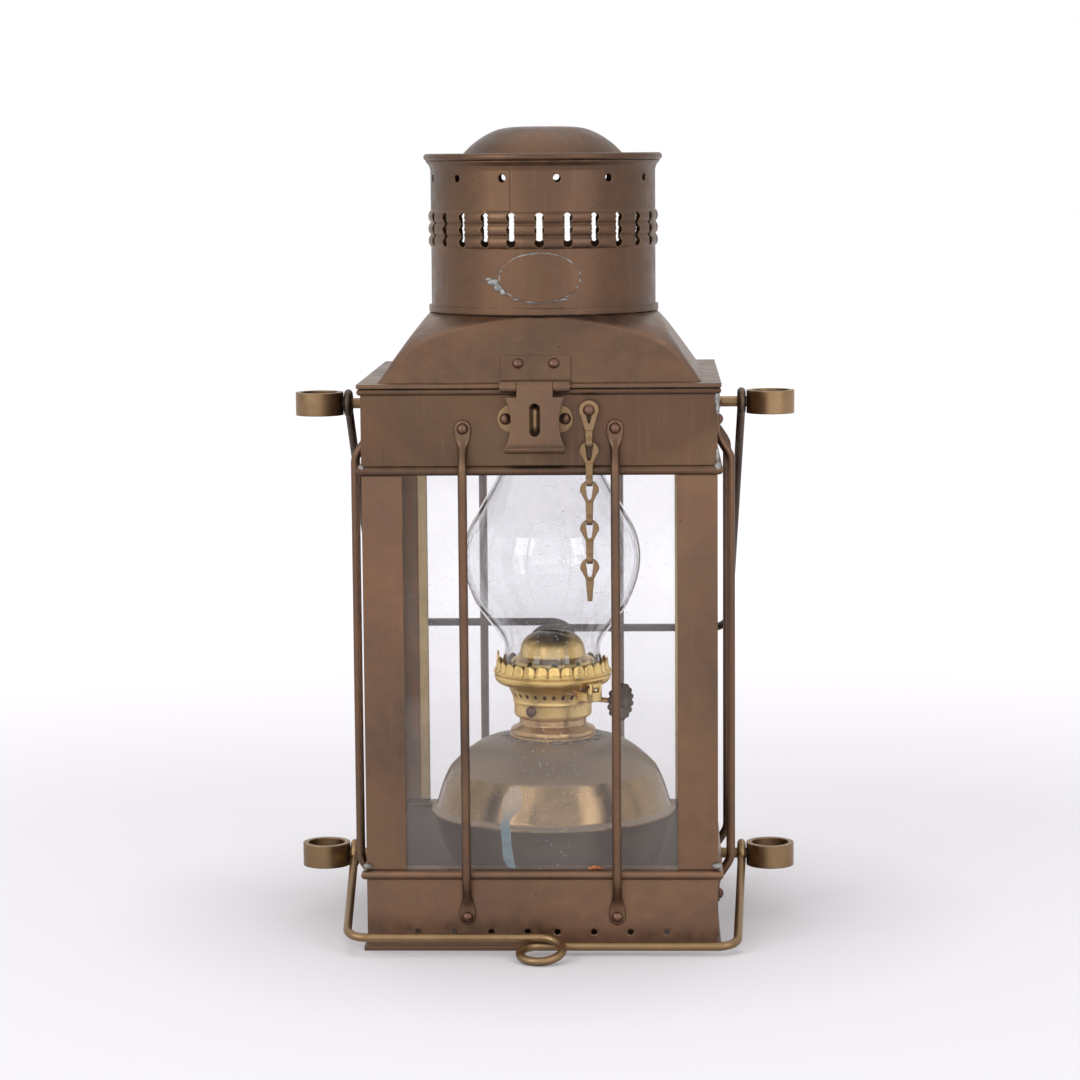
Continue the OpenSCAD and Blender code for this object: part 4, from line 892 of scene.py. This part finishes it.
GALLERY_TOP = 32.5
GALLERY_RING = [(14.5, 32.5), (24.8, 32.5), (26, 32.3), (27.9, 32.4), (28.5, 32), (28.5, 31.4), (27.6, 31.1),
                (27.6, 30.7), (28.3, 30.4), (28.4, 29.6), (28, 28.2), (27.2, 27), (25.9, 26.1), (25.2, 25.9),
                (25.4, 26.8), (26.6, 28.2), (27, 29.8), (26.6, 30.9), (24.8, 31.5), (14.5, 31.5)]
PETAL_N = 27
PETAL_HALF = 3.0
PETAL_R = 27.9
PETAL_MID_R = 27
PETAL_Z = 32
PETAL_FOOT = 0.9
PETAL_BULGE = 0.45
PETAL_SHEET = 0.5
PETAL_LEAN = 0.9
PETAL_TALL = 5.6
TAB_TALL = 9.5
COLUMNS = [k / 4 for k in range(-4, 5)]
ROWS = 8


def petal(turn, height, lean):
    """A round-topped leaf of sheet, bulged outwards, with a bent foot."""
    verts, faces = [], []
    for j in range(ROWS + 1):
        v = j / ROWS
        half = PETAL_HALF if v < 0.5 else PETAL_HALF * math.sqrt(max(1 - ((v - 0.5) / 0.5) ** 2, 0.004))
        radius = PETAL_R - PETAL_FOOT * min(v / 0.25, 1) - lean * v
        for u in COLUMNS:
            r = radius + PETAL_BULGE * (1 - u * u)
            a = math.radians(turn) + u * half / PETAL_MID_R
            verts.append((r * math.cos(a), r * math.sin(a), PETAL_Z + height * v))
    width = len(COLUMNS)
    for j in range(ROWS):
        for k in range(width - 1):
            faces.append((j * width + k, j * width + k + 1, (j + 1) * width + k + 1, (j + 1) * width + k))
    return verts, faces


petals = []
for i in range(PETAL_N):
    tall = TAB_TALL if i == PETAL_N // 2 else PETAL_TALL + 0.4 * (chance.random() - 0.5)
    petals.append(petal(360 * (i + 0.5) / PETAL_N, tall, PETAL_LEAN + 0.5 * (chance.random() - 0.5)))
BARREL_HALF = 2
BARREL_R = 1.5
STRAP_IN = 27.8
STRAP_HALF_T = 0.8
GRIP_Z = 26.5
GRIP_AT = 30.3
GRIP_R = 1.8
STEM_REACH = (27, 30.4)
STEM_R = 0.7
barrel_line = [Vector((TILT_R, y, TILT_Z)) for y in (-BARREL_HALF, BARREL_HALF)]
barrel = tube(barrel_line, [oval(BARREL_R, BARREL_R)] * 2, Vector((0, 0, 1)))
strap = block((STRAP_IN, -BARREL_HALF, TILT_Z - STRAP_HALF_T), (TILT_R, BARREL_HALF, TILT_Z + STRAP_HALF_T))
grip = merged(ball((GRIP_AT, 0, GRIP_Z), (GRIP_R, GRIP_R, GRIP_R)),
              spoke(*STEM_REACH, GRIP_Z, oval(STEM_R, STEM_R)))
ring = merged(lamp_shell(GALLERY_RING, 112),
              moved(merged(barrel, strap), lambda v: on_lamp(TILT_TURN, v)),
              moved(grip, lambda v: on_lamp(180 + TILT_TURN, v)))
piece("gallery_ring", "gallery", "burner_brass", ring, stands_for=["burner_gallery"])

# Flame dome, with the slot that the wick comes up through

SHAFT_TURN = -30
SLOT_HALF = (8.5, 3.0)
SLOT_LOW = 14.1
FLAME_SKIN = 0.8
FLAME_HOLES = 10
FLAME_HOLE_Z = 4.3
FLAME_HOLE_R = 1.5
FLAME_HOLE_REACH = (17, 23)
FLAME_HOLE_TURN = -86
FLAME_SKIRT = [(20.6, 0), (20.6, 2.2), (20.3, 4.4), (18.6, 5.8), (16.6, 6.7)]
FLAME_CAP = [(16.1, 7.2), (15.9, 8.6), (15.5, 10.6), (14.7, 13), (13.1, 15.3), (10.6, 17.1), (7.2, 18.3),
             (3.5, 18.7), (HAIR, 18.8)]


def smooth_sides(parts, steps):
    """Outlines of (radius, height), each smoothed by itself and joined."""
    return [(p.x, p.y) for points in parts for p in curve([(r, z, 0) for r, z in points], steps)]


def on_gallery(turn, v):
    """A point by its height above the top of the gallery, turned about the axis of the lamp."""
    return on_lamp(turn, v + Vector((0, 0, GALLERY_TOP)))


cap = smooth_sides((FLAME_SKIRT, FLAME_CAP), 3)
cap += [(max(r - FLAME_SKIN, HAIR), max(z - FLAME_SKIN, 0)) for r, z in reversed(cap)]
flame = piece("flame_cap", "gallery", "burner_brass",
              moved(lathe(cap, 96, round_trip=True), lambda v: on_gallery(0, v)),
              stands_for=["flame_dome"], crease=34)
hole = spoke(*FLAME_HOLE_REACH, FLAME_HOLE_Z, oval(FLAME_HOLE_R, FLAME_HOLE_R, 12))
holes = []
for i in range(FLAME_HOLES):
    turn = 360 * i / FLAME_HOLES + FLAME_HOLE_TURN
    holes.append(moved(hole, lambda v: on_gallery(turn, v)))
wick_slot = block((-SLOT_HALF[0], -SLOT_HALF[1], SLOT_LOW), (SLOT_HALF[0], SLOT_HALF[1], 2 * SLOT_LOW))
holes.append(moved(wick_slot, lambda v: on_gallery(SHAFT_TURN, v)))
cut(flame, merged(*holes))
piece("gallery_petals", "gallery", "burner_brass", moved(merged(*petals), lambda v: on_lamp(0, v)),
      thick=PETAL_SHEET)

# Winder knob

SHAFT_OFF = 5.3
SHAFT_Z = 18.5
KNOB_AT = 32
SCALLOPS = 14
KNOB_STEPS = 8 * SCALLOPS
NOTCH_SHARE = 0.1
DISH_DEPTH = 0.5
KNOB_SIDE = [(0, 0), (2.6, 0), (3.0, 0.9), (5.6, 0.7), (7.6, 0.3), (8.6, 0.6), (9, 1.4), (9, 4.6), (8.6, 5.4),
             (7.6, 5.8), (5.6, 5.3), (3.2, 5.0), (2.7, 5.9), (1.4, 6.3), (0, 6.4)]
rings = []
for radius, along in KNOB_SIDE:
    ring = []
    for k in range(KNOB_STEPS):
        a = 2 * math.pi * k / KNOB_STEPS
        notch = (0.5 + 0.5 * math.cos(SCALLOPS * a)) ** 2
        r = radius * (1 - NOTCH_SHARE * notch) if radius > 7 else radius
        dip = DISH_DEPTH * notch * (1 if 4 < radius < 9 else 0) * (1 if along < 3 else -1)
        ring.append((KNOB_AT + along + dip, SHAFT_OFF + r * math.cos(a), SHAFT_Z + r * math.sin(a)))
    rings.append(ring)
piece("knob_wheel", "winder", "dark_wire", moved(loft(rings, caps=False), lambda v: on_lamp(SHAFT_TURN, v)),
      stands_for=["wick_knob"], crease=60)

# Fount top: a dome, a bright belt and a turned-out lip

DOME = [(20.5, 0), (27, -0.7), (33.5, -2.4), (39.2, -5.5), (45.2, -10.3), (50, -15)]
BELT = [(50.4, -15.5), (53, -20.8), (54.9, -26), (56.3, -31), (57.2, -33.4), (58.6, -34.7), (59.5, -35.1)]
LIP = (59.5, -35.7)
DOME_SHEET = 1.0
dome = smooth_sides((DOME, BELT), 4) + [LIP]
dome += [(r - DOME_SHEET, z - 0.6 * DOME_SHEET) for r, z in reversed(dome[:-1])]
piece("fount_dome", "lantern", "fount_brass", lamp_shell(dome, 128), stands_for=["fount_top"], crease=30)

# Screw collar on the fount, with the neck that the burner stands on

COLLAR_SIDE = [(15.7, 9.1), (16.3, 9.1), (16.3, 6.3), (16.9, 5.6), (20.2, 3.9), (20.6, 3.3), (20.6, 1.7),
               (20.2, 1.3), (20.9, 0.9), (21, -0.1), (15.7, -0.1)]
piece("collar_ring", "lantern", "neck_brass", lamp_shell(COLLAR_SIDE, 96),
      stands_for=["screw_collar"])

# Solder round the plate on the drum


def on_drum(across, z, out=0.0):
    """A point on the drum, so far round from its front."""
    a = across / DRUM_R - math.pi / 2
    return Vector(((DRUM_R + out) * math.cos(a), (DRUM_R + out) * math.sin(a), z))


BADGE_Z = 310.7
BADGE_HALF = (18.8, 11.3)
BEAD_STEPS = 72
BEAD_OUT = 0.35
rim = []
sections = []
for k in range(BEAD_STEPS):
    a = 2 * math.pi * k / BEAD_STEPS
    fat = 0.4 + 0.3 * chance.random()
    rim.append(on_drum(BADGE_HALF[0] * math.cos(a), BADGE_Z + BADGE_HALF[1] * math.sin(a), BEAD_OUT))
    sections.append(oval(fat, fat, 8))
bead = tube(rim, sections, Vector((0, -1, 0)), round_trip=True)

# Smeared lumps round the bare plate: distance round the drum, height, half-axes

SMEARS = [(-21.6, 308.6, (3.2, 0.8, 1.7)), (-19.4, 306.2, (2.2, 0.8, 2.0)), (-24.4, 309.9, (1.8, 0.6, 1.0)),
          (-17.2, 304.2, (1.4, 0.7, 1.6)), (9.6, 300.8, (3.4, 0.6, 0.7)), (-9.5, 300.7, (2.6, 0.6, 0.6))]
lumps = [ball(on_drum(x, z, 0.1), size, rough=0.25) for x, z, size in SMEARS]
piece("badge_solder", "lid", "solder", merged(bead, *lumps))

# Lap seam of the drum: its outline as share of the lap and height off the sheet, with a port cut through

SEAM_AT = -13.8
SEAM_LAP = 26
SEAM_SIDE = [(1, -0.3), (0.9, -0.04), (0.6, 0.06), (0.3, 0.2), (0, 0.42), (-0.004, -0.3)]
SEAM_ROWS = (341.4, 346, 351, 356, 360.4)
PORT_TURN = -18.8
PORT_Z = 356.6
PORT_R = 2.1
PORT_REACH = 3
seam = loft([[on_drum(SEAM_AT - SEAM_LAP * back, z, out) for back, out in SEAM_SIDE] for z in SEAM_ROWS])
lap = piece("drum_seam", "lid", "drum_brass_painted_shade", seam, crease=70)
port = spoke(DRUM_R - PORT_REACH, DRUM_R + PORT_REACH, PORT_Z, oval(PORT_R, PORT_R, 24))
cut(lap, moved(port, lambda v: turned(PORT_TURN - 90, v)))

# Lumps of solder at the corners of the case: middle, half-axes

CORNER_LUMPS = [((81.3, -81.5, 257), (1.2, 1.2, 3.6)), ((81.5, -81.7, 252), (0.9, 0.9, 3)),
                ((81.6, -82.4, 225.4), (1.8, 1.6, 2.6)), ((81.4, -81.6, 230.5), (0.9, 0.9, 3.4)),
                ((81.0, -82.6, 40.2), (2.4, 1.8, 1.3)), ((-81.4, -82.4, 225.0), (1.6, 1.4, 2)),
                ((-81.0, -82.6, 40), (2.2, 1.6, 1.1)), ((81.6, 82, 225.4), (1.7, 1.5, 2.4)),
                ((-81.6, 82, 226), (1.7, 1.5, 2.2)), ((81.2, 82, 40.1), (2, 1.6, 1.2)),
                ((-81.2, 82, 40.1), (2, 1.6, 1.2))]
piece("corner_solder", "lantern", "solder",
      merged(*[ball(at, size, rough=0.3) for at, size in CORNER_LUMPS]))

# Solder round the foot of the collar

BLOB_N = 26
BLOB_R = 21.6
BLOB_WIDE = 1.9
BLOB_HIGH = 0.55
BLOB_SINK = 0.2
blobs = []
for k in range(BLOB_N):
    turn = 2 * math.pi * (k + 0.7 * chance.random()) / BLOB_N
    size = 0.8 + 1.0 * chance.random()
    reach = BLOB_R + 1.2 * chance.random()
    blobs.append(ball((LAMP_X + reach * math.cos(turn), reach * math.sin(turn), CROWN_Z - BLOB_SINK),
                      (BLOB_WIDE * size, BLOB_WIDE * size, BLOB_HIGH * size), rough=0.3))
piece("collar_solder", "lantern", "solder", merged(*blobs))

# Dried paint on the front pane, as rows of height, middle and half width, and a crumb of rust on the sill

PANE_Y = (Vector(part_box("pane_front")[0]) / MM).y
DRIP_ROWS = [(77.5, -11.1, 0.7), (74.3, -12.7, 3.5), (70.6, -13.7, 4.5), (66.2, -14.3, 4), (63, -15.7, 2.4),
             (59.8, -17, 2.1), (56, -16.8, 2.4), (50, -16.4, 2.1), (44.4, -15.9, 2.4), (40.4, -14.8, 2.1),
             (38.6, -14.1, 1.8)]
DRIP_SIDE = [(-1, 1, 0), (-1, 0.6, 0.35), (1, 0.6, 0.35), (1, 1, 0)]
DRIP_SINK = 0.1
drip_line = curve([(x, half, z) for z, x, half in DRIP_ROWS], 3)
drip = loft([[(x + side * half * bulge, PANE_Y + DRIP_SINK - depth, z) for side, bulge, depth in DRIP_SIDE]
             for x, half, z in drip_line])
piece("paint_drip", "lantern", "blue_paint", drip, crease=80)
CRUMB_X = 24.3
CRUMB_Z = 39.0
CRUMB_OUT = 0.6
CRUMBS = [(0, 0, 1.6), (2, -0.2, 1.0), (-1.9, -0.3, 1.1), (3.6, -0.4, 0.6)]
piece("sill_crumb", "lantern", "rust_crumb",
      merged(*[ball((CRUMB_X + x, PANE_Y - CRUMB_OUT, CRUMB_Z + z), (size, 0.8, 0.7 * size), 5, 8, 0.6)
               for x, z, size in CRUMBS]))

# Dull lining and bright strips that hold the panes, on the inside of the rear posts

POST_W = 18.5
LINE_INSET = 2
STRIP_W = 4.6
STRIP_OUT = 0.6
LINE_T = 0.4
LINE_Y = HALF - 4.0
LINE_LOW = BASE_H + 1
linings, strips = [], []
for side in (-1, 1):
    edge = side * (HALF - POST_W)
    inner, outer = sorted((edge + side * STRIP_W, side * (HALF - LINE_INSET)))
    linings.append(block((inner, LINE_Y, LINE_LOW), (outer, LINE_Y + LINE_T, BAND_Z)))
    low, high = sorted((edge, edge + side * STRIP_W))
    strips.append(block((low, LINE_Y - STRIP_OUT, LINE_LOW), (high, LINE_Y + LINE_T, BAND_Z)))
piece("post_lining", "lantern", "inner_brass", merged(*linings))
piece("pane_strips", "lantern", "strip_brass", merged(*strips), bevel=0.3)

# Floor: in the camera, in metal and in glass it glows, less so close to the lantern as a painted contact
# shadow, and it keeps the lantern's cast shadow

FLOOR_HALF = 14.0
FLOOR_COLOUR = (0.64, 0.625, 0.655, 1)
GLOW_COLOUR = (1.0, 0.985, 1.0, 1)
floor_mesh = bpy.data.meshes.new("floor")
corners = [(x * FLOOR_HALF, y * FLOOR_HALF, 0) for x, y in ((-1, -1), (1, -1), (1, 1), (-1, 1))]
floor_mesh.from_pydata(corners, [], [(0, 1, 2, 3)])
floor = bpy.data.objects.new("floor", floor_mesh)
scene.collection.objects.link(floor)
ground = Shade("floor_white")
ground.set(Base_Color=FLOOR_COLOUR, Roughness=0.9, Specular_IOR_Level=0.05)
seen = ground.add("ShaderNodeLightPath")
mirrored = ground.maths("MAXIMUM", seen.outputs["Is Glossy Ray"], seen.outputs["Is Transmission Ray"])
watched = ground.maths("MAXIMUM", seen.outputs["Is Camera Ray"], mirrored)
away = ground.vectors("LENGTH", ground.place, result="Value")
far_glow = ground.span(away, 0.35, 1.2, 0.22, 0.55)
# Painted contact shadow: the glow drops to half close to the lantern
glow_and_painted_shadow = ground.maths("MULTIPLY", far_glow, ground.span(away, 0.09, 0.22, 0.5, 1.0))
ground.set(Emission_Color=GLOW_COLOUR, Emission_Strength=ground.maths("MULTIPLY", watched, glow_and_painted_shadow))
floor_mesh.materials.append(ground.material)

# World: white to the camera, metal and glass, and a little lower as light

WORLD_LIGHT = 0.75
WORLD_WHITE = 1.0
world = bpy.data.worlds.new("studio")
scene.world = world
world.use_nodes = True
tree = world.node_tree
back = tree.nodes["Background"]
rays = tree.nodes.new("ShaderNodeLightPath")
either = rays.outputs["Is Camera Ray"]
for kind in ("Is Glossy Ray", "Is Transmission Ray"):
    most = tree.nodes.new("ShaderNodeMath")
    most.operation = "MAXIMUM"
    tree.links.new(either, most.inputs[0])
    tree.links.new(rays.outputs[kind], most.inputs[1])
    either = most.outputs["Value"]
strength = tree.nodes.new("ShaderNodeMapRange")
tree.links.new(either, strength.inputs["Value"])
strength.inputs["To Min"].default_value = WORLD_LIGHT
strength.inputs["To Max"].default_value = WORLD_WHITE
tree.links.new(strength.outputs["Result"], back.inputs["Strength"])
back.inputs["Color"].default_value = (1, 1, 1, 1)

# Soft lights: name, place, width and height in metres, and power in watts

LIGHT_AIM = Vector((0, 0, 0.2))
LIGHTS = [("key_light", (-1.3, -1.4, 1.1), (1.4, 1.4), 16), ("side_light", (1.25, -1.5, 0.95), (0.7, 1.3), 9),
          ("top_light", (0, 0.4, 2.0), (1.6, 1.6), 7), ("front_light", (0.2, -2.7, 0.4), (2.4, 0.8), 5)]


def soft_light(name, at, size, power):
    data = bpy.data.lights.new(name, "AREA")
    data.shape = "RECTANGLE"
    data.size, data.size_y = size
    data.energy = power
    lamp = bpy.data.objects.new(name, data)
    lamp.location = at
    lamp.rotation_mode = "QUATERNION"
    lamp.rotation_quaternion = (LIGHT_AIM - Vector(at)).to_track_quat("-Z", "Y")
    scene.collection.objects.link(lamp)


for light in LIGHTS:
    soft_light(*light)
scene.view_settings.view_transform = "Standard"
